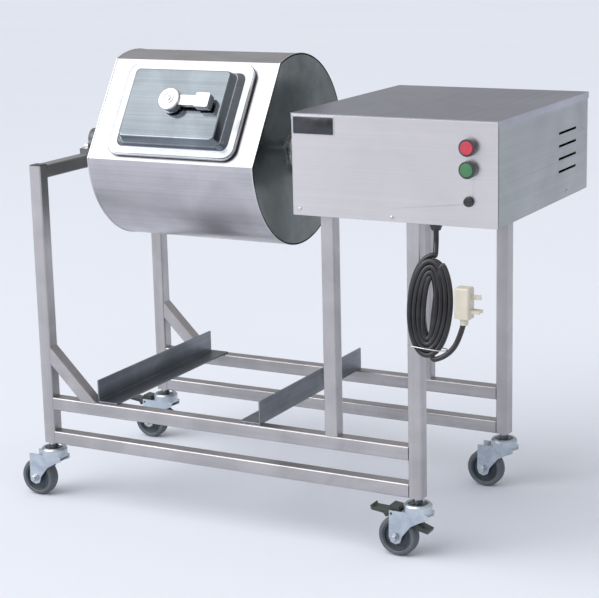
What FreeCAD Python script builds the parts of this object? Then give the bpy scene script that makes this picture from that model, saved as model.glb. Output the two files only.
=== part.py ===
import FreeCAD, Part
import math
import os
import re

import Sketcher

# Vacuum tumbler for marinating meat: a steel drum with one flat face turns on two
# shaft ends between a low bearing frame and a raised drive housing, on four casters.
# Row frame: +X along the drum axis towards the housing, +Y to the back, +Z up, with
# the origin on the floor under the middle of the machine. Millimetres.

SIZES = (
    # alias, value, what it is
    ("tube_side", 26.0, "square frame tube, outside"),
    ("tube_wall", 1.5, "square frame tube, wall"),
    ("tube_corner", 3.0, "square frame tube, outer corner radius"),
    ("edge_break", 1.0, "chamfers on turned pieces"),
    ("frame_length", 826.0, "side frame, left face to right face"),
    ("frame_depth", 444.0, "front face to back face"),
    ("caster_height", 115.0, "floor to the underside of the lower rails"),
    ("rail_gap", 44.0, "clear height between lower and upper rail"),
    ("bearing_rise", 24.0, "drum axis above the bearing crossbar"),
    ("mid_post_start", 633.0, "left face of the middle posts"),
    ("brace_reach", 103.0, "corner brace, along post and rail"),
    ("tray_left", 129.3, "outer face of the left tray angle"),
    ("tray_right", 494.0, "outer face of the right tray angle"),
    ("angle_leg", 45.0, "tray angle, both legs"),
    ("angle_wall", 3.0, "tray angle, thickness"),
    ("angle_inset", 8.0, "tray angle ends, back from the frame's faces"),
    ("housing_start", 582.0, "left face of the drive housing"),
    ("housing_length", 390.0, "drive housing along the drum axis"),
    ("housing_overhang", 5.0, "housing past the frame, front and back"),
    ("housing_floor", 503.0, "housing underside above the rails' underside"),
    ("housing_height", 182.0, "underside of the floor to the top of the cover"),
    ("sheet", 1.5, "housing sheet"),
    ("bend", 3.0, "housing sheet, outer bend radius"),
    ("cover_lip", 10.0, "turned-down lip of the cover"),
    ("seam", 3.0, "open seam beside the front panel"),
    ("panel_return", 14.0, "folded edges of front panel and floor"),
    ("screen_slots", 4.0, "ventilation slots in the right panel"),
    ("slot_length", 92.0, "ventilation slot, end to end"),
    ("slot_width", 4.0, "ventilation slot, height"),
    ("slot_pitch", 23.5, "ventilation slots, spacing"),
    ("slot_back", 66.0, "slot ends, from the back panel"),
    ("slot_drop", 57.0, "top slot, below the top of the cover"),
    ("drum_start", 110.0, "left end of the drum"),
    ("drum_length", 365.0, "drum with its end plates"),
    ("drum_radius", 182.5, "drum, outside"),
    ("drum_wall", 2.0, "drum sheet"),
    ("end_wall", 3.0, "drum end plate"),
    ("flat_distance", 148.0, "axis to the outside of the flat face"),
    ("flat_tilt", 33.0, "flat face's normal above the horizontal, degrees"),
    ("shaft_rise", 80.0, "drum axis above the housing's underside"),
    ("mouth_length", 236.0, "loading mouth along the drum"),
    ("mouth_width", 150.0, "loading mouth across the drum"),
    ("mouth_corner", 22.0, "loading mouth, corner radius"),
    ("collar_wall", 2.0, "collar round the mouth"),
    ("collar_height", 5.0, "collar above the flat face"),
    ("gasket_height", 4.0, "lid gasket, thickness"),
    ("gasket_width", 9.0, "lid gasket, width of the ring"),
    ("gasket_gap", 2.0, "gasket to collar"),
    ("lid_length", 282.0, "lid flange along the drum"),
    ("lid_width", 198.0, "lid flange across the drum"),
    ("lid_corner", 26.0, "lid flange, corner radius"),
    ("flange_height", 3.0, "lid flange, thickness"),
    ("step_inset", 20.0, "lid flange edge to the foot of the step"),
    ("step_height", 9.0, "lower step of the lid"),
    ("plateau_length", 206.0, "raised field of the lid"),
    ("plateau_width", 140.0, "raised field of the lid, across"),
    ("plateau_corner", 8.0, "raised field, corner radius"),
    ("plateau_height", 27.0, "raised field above the flange"),
    ("lid_wall", 2.0, "pressed lid sheet"),
    ("lid_boss_radius", 15.0, "boss that carries the spindle"),
    ("lid_boss_height", 5.0, "boss above the raised field"),
    ("spindle_radius", 6.0, "lid spindle"),
    ("fit", 0.05, "running clearance on the radius"),
    ("seat", 0.3, "clearance at a seat"),
    ("knob_radius", 23.0, "lever knob"),
    ("knob_height", 17.0, "lever knob, height"),
    ("lever_reach", 88.0, "spindle to the end of the lever"),
    ("lever_width", 20.0, "lever across"),
    ("lever_height", 9.0, "lever, thickness"),
    ("lever_lift", 4.0, "lever above the boss"),
    ("lever_round", 3.0, "rounded edges of knob and grip"),
    ("grip_lift", 1.0, "grip block above the boss"),
    ("grip_margin", 4.0, "grip block past the lever, at each side"),
    ("grip_height", 17.0, "grip block, thickness"),
    ("spindle_end", 8.0, "spindle below the locking bar"),
    ("grip_length", 30.0, "block at the lever's end"),
    ("bar_length", 174.0, "locking bar under the lid"),
    ("bar_width", 26.0, "locking bar across"),
    ("bar_height", 6.0, "locking bar, thickness"),
    ("bar_gap", 1.0, "locking bar under the drum's skin"),
    ("baffle_height", 32.0, "mixing baffle, off the drum wall"),
    ("baffle_wall", 2.0, "mixing baffle sheet"),
    ("baffle_foot", 28.0, "mixing baffle, width of its foot"),
    ("baffle_tip", 2.0, "mixing baffle, width of its crest"),
    ("baffle_gap", 0.7, "baffle foot off the drum wall, at its middle"),
    ("baffle_end_gap", 14.0, "baffle ends to the end plates"),
    ("hub_radius", 48.0, "shaft flange on the drum end"),
    ("hub_height", 7.0, "shaft flange, thickness"),
    ("shaft_collar", 8.0, "collar of the shaft flange, round the shaft"),
    ("collar_length", 10.0, "collar of the shaft flange, along the shaft"),
    ("stub_radius", 8.5, "left shaft end"),
    ("stub_proud", 3.0, "left shaft end past the frame"),
    ("shaft_radius", 12.5, "drive shaft"),
    ("bearing_width", 24.0, "left bearing along the shaft"),
    ("bearing_foot", 104.0, "left bearing foot across"),
    ("bearing_foot_height", 10.0, "left bearing foot, thickness"),
    ("bearing_ring", 21.0, "left bearing housing, radius"),
    ("bearing_bolt_radius", 4.0, "bearing bolts"),
    ("bearing_bolt_pitch", 78.0, "bearing bolts, spacing"),
    ("bearing_splay", 6.0, "bearing web past the ring, at its foot"),
    ("flange_bearing_side", 84.0, "drive bearing flange"),
    ("flange_bearing_corner", 12.0, "drive bearing flange, corner radius"),
    ("flange_bearing_height", 12.0, "drive bearing flange, thickness"),
    ("flange_bearing_wall", 14.0, "drive bearing nose round the shaft"),
    ("flange_bearing_nose", 8.0, "drive bearing nose, length"),
    ("gearbox_gap", 12.0, "housing wall to the gearbox"),
    ("gearbox_length", 92.0, "gearbox along the shaft"),
    ("gearbox_width", 104.0, "gearbox across"),
    ("gearbox_top", 50.0, "gearbox above the drum axis"),
    ("shaft_proud", 8.0, "drive shaft past the gearbox"),
    ("motor_radius", 48.0, "motor"),
    ("motor_gap", 3.5, "motor to the housing's back wall"),
    ("motor_drop", 20.0, "motor axis below the drum axis"),
    ("motor_shift", 4.0, "motor axis past the middle of the gearbox"),
    ("pump_length", 120.0, "vacuum pump along the housing"),
    ("pump_width", 92.0, "vacuum pump across"),
    ("pump_height", 88.0, "vacuum pump, height"),
    ("pump_foot", 8.0, "vacuum pump foot, thickness"),
    ("pump_barrel", 36.0, "vacuum pump barrel, radius"),
    ("pump_head", 42.0, "vacuum pump head along the housing"),
    ("pump_margin", 10.0, "vacuum pump head, in from the foot's edges"),
    ("pump_gap", 15.0, "vacuum pump to the housing's right wall"),
    ("contact_gap", 6.0, "contact blocks to the vacuum pump"),
    ("button_ring", 15.0, "button ring, radius"),
    ("button_ring_height", 12.0, "button ring in front of the panel"),
    ("button_barrel", 11.0, "button barrel, radius"),
    ("button_cap", 11.5, "button cap, radius"),
    ("button_proud", 2.0, "cap in front of its ring"),
    ("button_travel", 4.0, "button travel"),
    ("cap_height", 7.0, "button cap, thickness"),
    ("cap_stem", 4.0, "button cap's stem, radius"),
    ("barrel_length", 34.0, "button and fuse barrels behind the panel"),
    ("contact_side", 26.0, "contact block, across"),
    ("contact_height", 30.0, "contact block, thickness"),
    ("button_inset", 52.0, "buttons, from the housing's right face"),
    ("stop_drop", 45.0, "stop button, below the top of the cover"),
    ("button_pitch", 37.5, "stop button to start button"),
    ("fuse_drop", 137.5, "fuse holder, below the top of the cover"),
    ("fuse_radius", 9.0, "fuse holder cap, radius"),
    ("fuse_height", 8.0, "fuse holder in front of the panel"),
    ("fuse_thread", 6.0, "fuse holder behind the panel, radius"),
    ("fuse_skirt", 2.0, "skirt of the fuse cap"),
    ("fuse_slot", 1.6, "slot in the fuse cap"),
    ("wheel_radius", 37.5, "caster wheel"),
    ("wheel_width", 25.0, "caster wheel across"),
    ("tyre_height", 10.0, "tyre on its hub"),
    ("tread_round", 3.0, "rounding of the tread's edges"),
    ("hub_dish", 5.0, "dished face of the hub, depth"),
    ("hub_rim", 5.0, "rim of the hub round the dish"),
    ("hub_boss", 6.0, "boss of the hub round the axle"),
    ("trail", 38.0, "swivel axis to wheel axis"),
    ("pedal_reach", 52.0, "wheel axis to the end of the brake pedal"),
    ("axle_radius", 4.0, "caster axle"),
    ("pin_radius", 2.5, "brake pivot pin"),
    ("pin_back", 8.0, "brake pivot behind the wheel axis"),
    ("pin_drop", 6.0, "brake pivot below the fork crown"),
    ("fork_gap", 2.0, "wheel to fork plate"),
    ("fork_wall", 2.5, "fork plate"),
    ("fork_top", 88.0, "fork crown above the floor"),
    ("fork_foot", 13.0, "fork plate round the axle, radius"),
    ("crown_wall", 3.0, "fork crown"),
    ("axle_head", 3.5, "axle heads round the axle"),
    ("axle_proud", 4.0, "axle heads outside the fork"),
    ("cup_radius", 26.0, "swivel cup"),
    ("cup_height", 16.0, "swivel cup above the crown"),
    ("cup_recess", 19.0, "recess in the swivel cup, radius"),
    ("stem_radius", 6.0, "caster stem"),
    ("stem_neck", 9.0, "nut under the post, radius"),
    ("nut_height", 9.0, "nut under the post"),
    ("rivet_lip", 3.0, "stem head past the stem"),
    ("rivet_height", 4.0, "stem head under the crown"),
    ("plug_depth", 24.0, "caster socket inside the post"),
    ("gland_thread", 8.0, "cord gland in the floor, radius"),
    ("gland_bore", 3.5, "cord gland, bore"),
    ("gland_drop", 12.0, "cord gland below the floor"),
    ("gland_collar", 3.0, "cord gland's collar past its thread"),
    ("cord_radius", 4.75, "mains cord"),
    ("plug_neck", 12.0, "plug's sleeve"),
    ("plug_length", 54.0, "plug body along the cord"),
    ("plug_width", 28.0, "plug body across, towards the pins"),
    ("plug_breadth", 26.0, "plug body across the pins"),
    ("plug_round", 4.0, "plug body, edge radius"),
    ("prong_length", 17.0, "plug pins"),
)
# Sizes that follow from the ones above.
DERIVED = (
    ("shaft_height", "housing_floor + shaft_rise"),
    ("left_post_height", "shaft_height - bearing_rise"),
    ("upper_rail_base", "tube_side + rail_gap"),
    ("upper_rail_top", "2 * tube_side + rail_gap"),
    ("rail_length", "frame_length - 2 * tube_side"),
    ("housing_depth", "frame_depth + 2 * housing_overhang"),
    ("wall_height", "housing_height - sheet"),
    ("shell_length", "drum_length - 2 * end_wall"),
    ("inner_radius", "drum_radius - drum_wall"),
    ("inner_flat", "flat_distance - drum_wall"),
    ("ring_length", "mouth_length + 2 * collar_wall"),
    ("ring_width", "mouth_width + 2 * collar_wall"),
    ("ring_corner", "mouth_corner + collar_wall"),
    ("gasket_inner_length", "ring_length + 2 * gasket_gap"),
    ("gasket_inner_width", "ring_width + 2 * gasket_gap"),
    ("gasket_inner_corner", "ring_corner + gasket_gap"),
    ("gasket_outer_length", "gasket_inner_length + 2 * gasket_width"),
    ("gasket_outer_width", "gasket_inner_width + 2 * gasket_width"),
    ("gasket_outer_corner", "gasket_inner_corner + gasket_width"),
    ("lid_seat", "flat_distance + gasket_height"),
    ("step_length", "lid_length - 2 * step_inset"),
    ("step_width", "lid_width - 2 * step_inset"),
    ("step_corner", "lid_corner - step_inset / 2"),
    ("tread_length", "plateau_length + 14"),
    ("tread_width", "plateau_width + 14"),
    ("tread_corner", "plateau_corner + 5"),
    ("hollow_tread_length", "tread_length - 2 * lid_wall"),
    ("hollow_tread_width", "tread_width - 2 * lid_wall"),
    ("hollow_tread_corner", "tread_corner - lid_wall"),
    ("hollow_length", "plateau_length - 2 * lid_wall"),
    ("hollow_width", "plateau_width - 2 * lid_wall"),
    ("hollow_corner", "plateau_corner - lid_wall"),
    ("hollow_foot_length", "gasket_inner_length"),
    ("hollow_foot_width", "gasket_inner_width"),
    ("hollow_foot_corner", "step_corner - lid_wall"),
    ("lid_top", "lid_seat + flange_height + plateau_height"),
    ("boss_top", "lid_top + lid_boss_height"),
    ("bar_top", "inner_flat - bar_gap"),
    ("fork_width", "wheel_width + 2 * fork_gap + 2 * fork_wall"),
    ("socket_side", "tube_side - 2 * tube_wall"),
    ("hub_outer", "wheel_radius - tyre_height"),
    ("motor_length", "housing_depth / 2 - sheet - motor_gap - gearbox_width / 2"),
    ("crown_under", "fork_top - crown_wall"),
)
# The mains cord's route, in the machine's own places: from the frame's left and front
# faces and from the underside of the rails.
LEAD = ((852, 11, 491), (852, 11, 477.5), (853, 8, 464), (855, 0.5, 447))
TAIL = ((858, -39, 272), (880, -38, 277), (899.5, -35.5, 291), (912, -31, 312.5),
        (918, -26.5, 338))
PLUG_FOOT = (919.5, -25.5, 338)
# Share of the shorter run that an arc of the cord takes up on each side of a corner.
TURN_SHARE = 0.45
# The plug's pins on its flat side: left, low, right and high edge of each.
PRONGS = ((-8, 22, -5, 28), (5, 22, 8, 28), (-2, 46, 2, 54))
# The hanging coil: its middle, its backward lean in degrees, its thickness, and the
# outer and inner outlines, as arcs through each three neighbours.
COIL_PLACE = (854, -22.3, 363)
COIL_TILT = 8.5
COIL_THICKNESS = 20.0
COIL_OUTLINE = ((-14, 90), (0, 95), (14, 90), (48, 0), (12, -88), (0, -95), (-12, -88), (-48, 0))
COIL_GAP = ((0, 57), (5, 5), (0, -48), (-5, 5))
# Mixing baffles: how many, and where they stand round the axis, in degrees from the
# flat face.
BAFFLES = 3
FIRST_BAFFLE = 100.0
BAFFLE_SPREAD = 160.0
CASTERS = (
    # name, right end of the frame, back of the frame, has a brake
    ("front_left", False, False, False),
    ("front_right", True, False, True),
    ("back_left", False, True, True),
    ("back_right", True, True, False),
)


def build_sheet(document):
    """Write the driving and the derived sizes, each under its own alias."""
    cells = document.addObject("Spreadsheet::Sheet", "Sizes")
    row = 0
    for alias, value, note in SIZES:
        row += 1
        cells.set("A%d" % row, note)
        cells.set("B%d" % row, str(value))
        cells.setAlias("B%d" % row, alias)
    for alias, formula in DERIVED:
        row += 1
        cells.set("B%d" % row, "=" + formula)
        cells.setAlias("B%d" % row, alias)
    document.recompute()
    return cells


doc = FreeCAD.newDocument("Tumbler")
sheet = build_sheet(doc)
size = {row[0]: float(sheet.get(row[0])) for row in SIZES + DERIVED}
working = doc.addObject("Spreadsheet::Sheet", "Working")
pieces = []
Vector = FreeCAD.Vector

# Places in the row frame: x from the frame's left face, y from its front face and
# height above the underside of the rails, all moved to the origin under the middle.
reach_left = size["tube_side"] / 2 - size["trail"] - size["pedal_reach"]
reach_right = size["housing_start"] + size["housing_length"] + size["sheet"]
reach_front = -size["housing_overhang"] - size["button_ring_height"] - size["button_proud"]
cup_back = size["frame_depth"] - size["tube_side"] / 2 + size["cup_radius"]
cover_back = size["frame_depth"] + size["housing_overhang"] + size["sheet"]
reach_back = max(cup_back, cover_back)
middle_x = (reach_left + reach_right) / 2
middle_y = (reach_front + reach_back) / 2


def at(x, y, height):
    """A point of the machine in the row frame."""
    return Vector(x - middle_x, y - middle_y, height + size["caster_height"])


def refer(formula):
    """A formula over the sheet's aliases, as another object has to write it."""
    return re.sub(r"[a-z_]+\b(?!\()", lambda word: "Sizes." + word.group(), formula)


def number(formula):
    """The present value of a formula over the sheet's aliases."""
    working.set("A1", "=" + refer(str(formula)))
    working.recompute()
    return float(working.get("A1"))


def bind(target, prop, formula):
    """Bind one property to the sheet."""
    target.setExpression(prop, refer(str(formula)))


def new_body(label, base=Vector(), turn=FreeCAD.Rotation()):
    """A part-design body, listed for export."""
    body = doc.addObject("PartDesign::Body", label)
    body.Label = label
    body.Placement = FreeCAD.Placement(base, turn)
    pieces.append(body)
    return body


def new_sketch(body, role, lift=None):
    """A sketch on one of the body's own origin planes, lifted along its normal."""
    drawing = body.newObject("Sketcher::SketchObject", body.Name + "_drawing")
    base = [plane for plane in body.Origin.OriginFeatures if plane.Role == role]
    drawing.AttachmentSupport = [(base[0], "")]
    drawing.MapMode = "FlatFace"
    if lift is not None:
        bind(drawing, "AttachmentOffset.Base.z", lift)
    return drawing


def hold(drawing, kind, *where):
    """Add a constraint; a last argument that is text is a formula for its value."""
    if not isinstance(where[-1], str):
        return drawing.addConstraint(Sketcher.Constraint(kind, *where))
    value = number(where[-1])
    index = drawing.addConstraint(Sketcher.Constraint(kind, *where[:-1], value))
    bind(drawing, "Constraints[%d]" % index, where[-1])
    return index


def draw_outline(drawing, corners):
    """A closed outline of straight lines whose corners are pairs of formulas."""
    count = len(corners)
    first = drawing.GeometryCount
    ring = [Vector(number(across), number(along), 0) for across, along in corners]
    for i in range(count):
        drawing.addGeometry(Part.LineSegment(ring[i], ring[(i + 1) % count]))
    for i in range(count):
        hold(drawing, "Coincident", first + i, 2, first + (i + 1) % count, 1)
    for i, (across, along) in enumerate(corners):
        hold(drawing, "DistanceX", first + i, 1, str(across))
        hold(drawing, "DistanceY", first + i, 1, str(along))
    return first


def draw_rectangle(drawing, left, low, right, high):
    """A rectangle between four formulas."""
    corners = ((left, low), (right, low), (right, high), (left, high))
    return draw_outline(drawing, corners)


def draw_circle(drawing, across, along, radius):
    """A circle whose centre and radius are formulas."""
    centre = Vector(number(across), number(along), 0)
    circle = Part.Circle(centre, Vector(0, 0, 1), number(radius))
    index = drawing.addGeometry(circle)
    hold(drawing, "DistanceX", index, 3, str(across))
    hold(drawing, "DistanceY", index, 3, str(along))
    hold(drawing, "Radius", index, str(radius))
    return index


def draw_rounded(drawing, across, along, corner, lift_along="0"):
    """A rounded rectangle centred on the sketch's x, with its centre lifted along y.

    across, along and corner name sizes of the sheet.
    """
    half_x = size[across] / 2
    half_y = size[along] / 2
    radius = size[corner]
    side_x = half_x - radius
    side_y = half_y - radius
    lift = number(lift_along)
    first = drawing.GeometryCount
    lines = (((-side_x, -half_y), (side_x, -half_y)), ((half_x, -side_y), (half_x, side_y)),
             ((side_x, half_y), (-side_x, half_y)), ((-half_x, side_y), (-half_x, -side_y)))
    centres = ((side_x, -side_y), (side_x, side_y), (-side_x, side_y), (-side_x, -side_y))
    for i in range(4):
        start, end = lines[i]
        up = Vector(0, lift, 0)
        drawing.addGeometry(Part.LineSegment(Vector(*start, 0) + up, Vector(*end, 0) + up))
        circle = Part.Circle(Vector(*centres[i], 0) + up, Vector(0, 0, 1), radius)
        quarter = math.pi / 2
        drawing.addGeometry(Part.ArcOfCircle(circle, (i - 1) * quarter, i * quarter))
    for i in range(4):
        line = first + 2 * i
        arc = line + 1
        following = first + (2 * i + 2) % 8
        hold(drawing, "Tangent", line, 2, arc, 1)
        hold(drawing, "Tangent", arc, 2, following, 1)
        hold(drawing, "Horizontal" if i % 2 == 0 else "Vertical", line)
    hold(drawing, "Radius", first + 1, corner)
    for i in (3, 5, 7):
        hold(drawing, "Equal", first + 1, first + i)
    hold(drawing, "DistanceX", first + 2, 1, across + " / 2")
    hold(drawing, "DistanceX", first + 6, 1, "-" + across + " / 2")
    hold(drawing, "DistanceY", first, 1, lift_along + " - " + along + " / 2")
    hold(drawing, "DistanceY", first + 4, 1, lift_along + " + " + along + " / 2")


def draw_drum_section(drawing, radius, flat):
    """A circle about the origin cut off by a chord at +x, both named in the sheet."""
    start = math.acos(size[flat] / size[radius])
    top = Vector(size[flat], size[radius] * math.sin(start), 0)
    low = Vector(size[flat], -top.y, 0)
    circle = Part.Circle(Vector(0, 0, 0), Vector(0, 0, 1), size[radius])
    arc = drawing.addGeometry(Part.ArcOfCircle(circle, start, 2 * math.pi - start))
    chord = drawing.addGeometry(Part.LineSegment(low, top))
    hold(drawing, "Coincident", arc, 3, -1, 1)
    hold(drawing, "Coincident", arc, 2, chord, 1)
    hold(drawing, "Coincident", chord, 2, arc, 1)
    hold(drawing, "Vertical", chord)
    hold(drawing, "Radius", arc, radius)
    hold(drawing, "DistanceX", chord, 1, flat)


def extrude(body, drawing, kind, length, middle=False, back=False, through=False):
    """A pad or a pocket of a sketch."""
    feature = body.newObject("PartDesign::" + kind, body.Name + "_" + kind.lower())
    feature.Profile = drawing
    feature.Midplane = middle
    feature.Reversed = back
    if through:
        feature.Type = "ThroughAll"
    else:
        bind(feature, "Length", length)
    return feature


def pad(body, drawing, length, middle=False, back=False):
    """Add material over a sketch."""
    return extrude(body, drawing, "Pad", length, middle, back)


def pocket(body, drawing, length="1", middle=False, back=False, through=False):
    """Cut material over a sketch, and check that the cut took something away."""
    doc.recompute()
    before = body.Shape.Volume
    feature = extrude(body, drawing, "Pocket", length, middle, back, through)
    doc.recompute()
    if body.Shape.Volume > before - 0.01:
        raise ValueError("a pocket of %s cuts nothing" % body.Label)
    return feature


def revolve(body, drawing, kind="Revolution", axis="V_Axis"):
    """Turn a sketch right round one of its own axes."""
    feature = body.newObject("PartDesign::" + kind, body.Name + "_turned")
    feature.Profile = drawing
    feature.ReferenceAxis = (drawing, [axis])
    feature.Angle = 360
    return feature


def turned(label, outline, base=Vector(), turn=FreeCAD.Rotation()):
    """A body turned about its own Z from (radius, height) corners."""
    body = new_body(label, base, turn)
    drawing = new_sketch(body, "XZ_Plane")
    draw_outline(drawing, outline)
    revolve(body, drawing)
    return body


def soften(body, feature, choose, radius, kind="Fillet"):
    """Fillet or chamfer the edges that a test of their middle point picks."""
    doc.recompute()
    names = []
    for index, edge in enumerate(feature.Shape.Edges, 1):
        centre = edge.valueAt((edge.FirstParameter + edge.LastParameter) / 2)
        if choose(edge, centre):
            names.append("Edge%d" % index)
    if not names:
        raise ValueError("no edge to soften on " + body.Label)
    dress = body.newObject("PartDesign::" + kind, body.Name + "_" + kind.lower())
    dress.Base = (feature, names)
    bind(dress, "Radius" if kind == "Fillet" else "Size", radius)
    return dress


ALONG_X = FreeCAD.Rotation(Vector(0, 1, 0), 90)
ALONG_Y = FreeCAD.Rotation(Vector(1, 0, 0), -90)
ALONG_Z = FreeCAD.Rotation()
FACING_FRONT = FreeCAD.Rotation(Vector(1, 0, 0), 90)


# ---------------------------------------------------------------- frame
def square_tube(label, length, base, turn):
    """A square tube along its own Z, centred on the other two axes."""
    body = new_body(label, base, turn)
    drawing = new_sketch(body, "XY_Plane")
    draw_rounded(drawing, "tube_side", "tube_side", "tube_corner")
    bore = "(tube_side / 2 - tube_wall)"
    draw_rectangle(drawing, "-" + bore, "-" + bore, bore, bore)
    pad(body, drawing, length)
    return body


def build_frame():
    """Two side frames, the bearing crossbar and the two tray angles."""
    half = size["tube_side"] / 2
    rows = (("front", half), ("back", size["frame_depth"] - half))
    upper = size["upper_rail_base"]
    for side, y in rows:
        inner = size["tube_side"]
        square_tube(side + "_lower_rail", "rail_length", at(inner, y, half), ALONG_X)
        square_tube(side + "_upper_rail", "rail_length", at(inner, y, upper + half), ALONG_X)
        square_tube(side + "_left_post", "left_post_height", at(half, y, 0), ALONG_Z)
        right = size["frame_length"] - half
        square_tube(side + "_right_post", "housing_floor", at(right, y, 0), ALONG_Z)
        middle = size["mid_post_start"] + half
        square_tube(side + "_mid_post", "housing_floor - upper_rail_top",
                    at(middle, y, size["upper_rail_top"]), ALONG_Z)
        build_brace(side + "_corner_brace", y)
    top = size["left_post_height"] - half
    square_tube("bearing_crossbar", "frame_depth - 2 * tube_side",
                at(half, size["tube_side"], top), ALONG_Y)
    build_angles()


def build_brace(label, y):
    """A mitred square tube across the corner of a left post and an upper rail."""
    base = at(size["tube_side"], y, size["upper_rail_top"])
    body = new_body(label, base)
    drawing = new_sketch(body, "XZ_Plane")
    slant = "tube_side * sqrt(2)"
    draw_outline(drawing, (("0", "brace_reach - " + slant), ("brace_reach - " + slant, "0"),
                           ("brace_reach", "0"), ("0", "brace_reach")))
    block = pad(body, drawing, "tube_side", middle=True)
    slant = Vector(1, 0, -1)
    soften(body, block, lambda edge, centre: edge.tangentAt(edge.FirstParameter).cross(slant).Length
           < 0.01, "tube_corner")
    bore = new_sketch(body, "XZ_Plane")
    near = "(brace_reach - tube_side * sqrt(2) + tube_wall * sqrt(2))"
    far = "(brace_reach - tube_wall * sqrt(2))"
    draw_outline(bore, (("0", near), (near, "0"), (far, "0"), ("0", far)))
    pocket(body, bore, "tube_side - 2 * tube_wall", middle=True)


def build_angles():
    """Two tray angles across the upper rails, their upright legs outwards."""
    base = at(0, size["angle_inset"], size["upper_rail_top"])
    body = new_body("tray_angles", base)
    drawing = new_sketch(body, "XZ_Plane")
    for outer, sign in (("tray_left", " + "), ("tray_right", " - ")):
        toe = outer + sign + "angle_leg"
        heel = outer + sign + "angle_wall"
        draw_outline(drawing, ((outer, "0"), (toe, "0"), (toe, "angle_wall"),
                               (heel, "angle_wall"), (heel, "angle_leg"),
                               (outer, "angle_leg")))
    pad(body, drawing, "frame_depth - 2 * angle_inset", back=True)


# ---------------------------------------------------------------- housing
TOUCH = 0.01
LINE = "Part::GeomLine"


def is_upright(edge):
    """Whether an edge is a straight one along Z."""
    return edge.Curve.TypeId == LINE and abs(edge.tangentAt(edge.FirstParameter).z) > 1 - TOUCH


def build_housing():
    """Floor, front panel, wrap-round walls and cover of the drive housing."""
    corner = at(size["housing_start"], -size["housing_overhang"], size["housing_floor"])
    build_floor(corner)
    build_front_panel(corner)
    build_wrap(corner)
    build_cover(corner)


def build_floor(corner):
    """The floor pan, inside the walls, with its edges folded up."""
    body = new_body("housing_floor", corner)
    drawing = new_sketch(body, "XY_Plane")
    side = "(sheet + seat)"
    draw_rectangle(drawing, side, side, "housing_length - " + side, "housing_depth - " + side)
    block = pad(body, drawing, "panel_return")
    soften(body, block, lambda edge, centre: is_upright(edge), "bend - sheet")
    hollow = new_sketch(body, "XY_Plane", "panel_return")
    side = "(2 * sheet + seat)"
    draw_rectangle(hollow, side, side, "housing_length - " + side, "housing_depth - " + side)
    pocket(body, hollow, "panel_return - sheet")
    hole = new_sketch(body, "XY_Plane", "sheet")
    draw_circle(hole, "%r - housing_start" % LEAD[0][0], "%r + housing_overhang" % LEAD[0][1],
                "gland_thread")
    pocket(body, hole, "sheet")


def build_front_panel(corner):
    """The control panel, its right edge folded back inside the open seam."""
    body = new_body("front_panel", corner)
    drawing = new_sketch(body, "XZ_Plane")
    draw_rectangle(drawing, "0", "0", "housing_length", "wall_height")
    pad(body, drawing, "sheet", back=True)
    doc.recompute()
    fold = new_sketch(body, "XY_Plane", "panel_return + seat")
    far = "(housing_length - seam)"
    draw_outline(fold, (("sheet + seat", "0"), (far, "0"), (far, "panel_return"),
                        (far + " - sheet", "panel_return"), (far + " - sheet", "sheet"),
                        ("sheet + seat", "sheet")))
    pad(body, fold, "wall_height - panel_return - seat")
    holes = new_sketch(body, "XZ_Plane")
    across = "housing_length - button_inset"
    draw_circle(holes, across, "housing_height - stop_drop", "button_barrel + seat")
    draw_circle(holes, across, "housing_height - stop_drop - button_pitch", "button_barrel + seat")
    draw_circle(holes, across, "housing_height - fuse_drop", "fuse_thread + seat")
    pocket(body, holes, "2 * sheet")


def build_wrap(corner):
    """Left, back and right walls, bent from one sheet."""
    body = new_body("housing_wrap", corner)
    drawing = new_sketch(body, "XY_Plane")
    draw_outline(drawing, (("0", "sheet"), ("sheet", "sheet"),
                           ("sheet", "housing_depth - sheet"),
                           ("housing_length - sheet", "housing_depth - sheet"),
                           ("housing_length - sheet", "sheet + seam"),
                           ("housing_length", "sheet + seam"),
                           ("housing_length", "housing_depth"), ("0", "housing_depth")))
    block = pad(body, drawing, "wall_height")
    far = size["housing_depth"]
    bent = soften(body, block, lambda edge, centre: is_upright(edge) and centre.y > far - TOUCH,
                  "bend")
    soften(body, bent, lambda edge, centre: is_upright(edge) and edge.Curve.TypeId == LINE
           and far - size["sheet"] + TOUCH > centre.y > far - size["sheet"] - TOUCH,
           "bend - sheet")
    opening = new_sketch(body, "YZ_Plane", "sheet")
    draw_circle(opening, "housing_depth / 2", "shaft_height - housing_floor",
                "shaft_radius + 3 * seat")
    pocket(body, opening, "2 * sheet")
    slots = new_sketch(body, "YZ_Plane", "housing_length")
    for number in range(int(size["screen_slots"])):
        high = "housing_height - slot_drop - %d * slot_pitch" % number
        draw_rectangle(slots, "housing_depth - slot_back - slot_length", high + " - slot_width",
                       "housing_depth - slot_back", high)
    pocket(body, slots, "2 * sheet")


def build_cover(corner):
    """The cover, with lips turned down outside the wrap."""
    body = new_body("top_cover", corner)
    plate = new_sketch(body, "XY_Plane", "wall_height")
    draw_rectangle(plate, "-sheet", "0", "housing_length + sheet", "housing_depth + sheet")
    pad(body, plate, "sheet")
    lip = new_sketch(body, "XY_Plane", "wall_height")
    far = "(housing_depth + sheet)"
    near = "sheet"
    draw_outline(lip, (("-sheet", near), ("0", near), ("0", "housing_depth"),
                       ("housing_length", "housing_depth"), ("housing_length", near),
                       ("housing_length + sheet", near), ("housing_length + sheet", far),
                       ("-sheet", far)))
    block = pad(body, lip, "cover_lip", back=True)
    edge_line = size["housing_depth"] + size["sheet"]
    soften(body, block, lambda edge, centre: is_upright(edge) and centre.y > edge_line - TOUCH,
           "bend")


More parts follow.
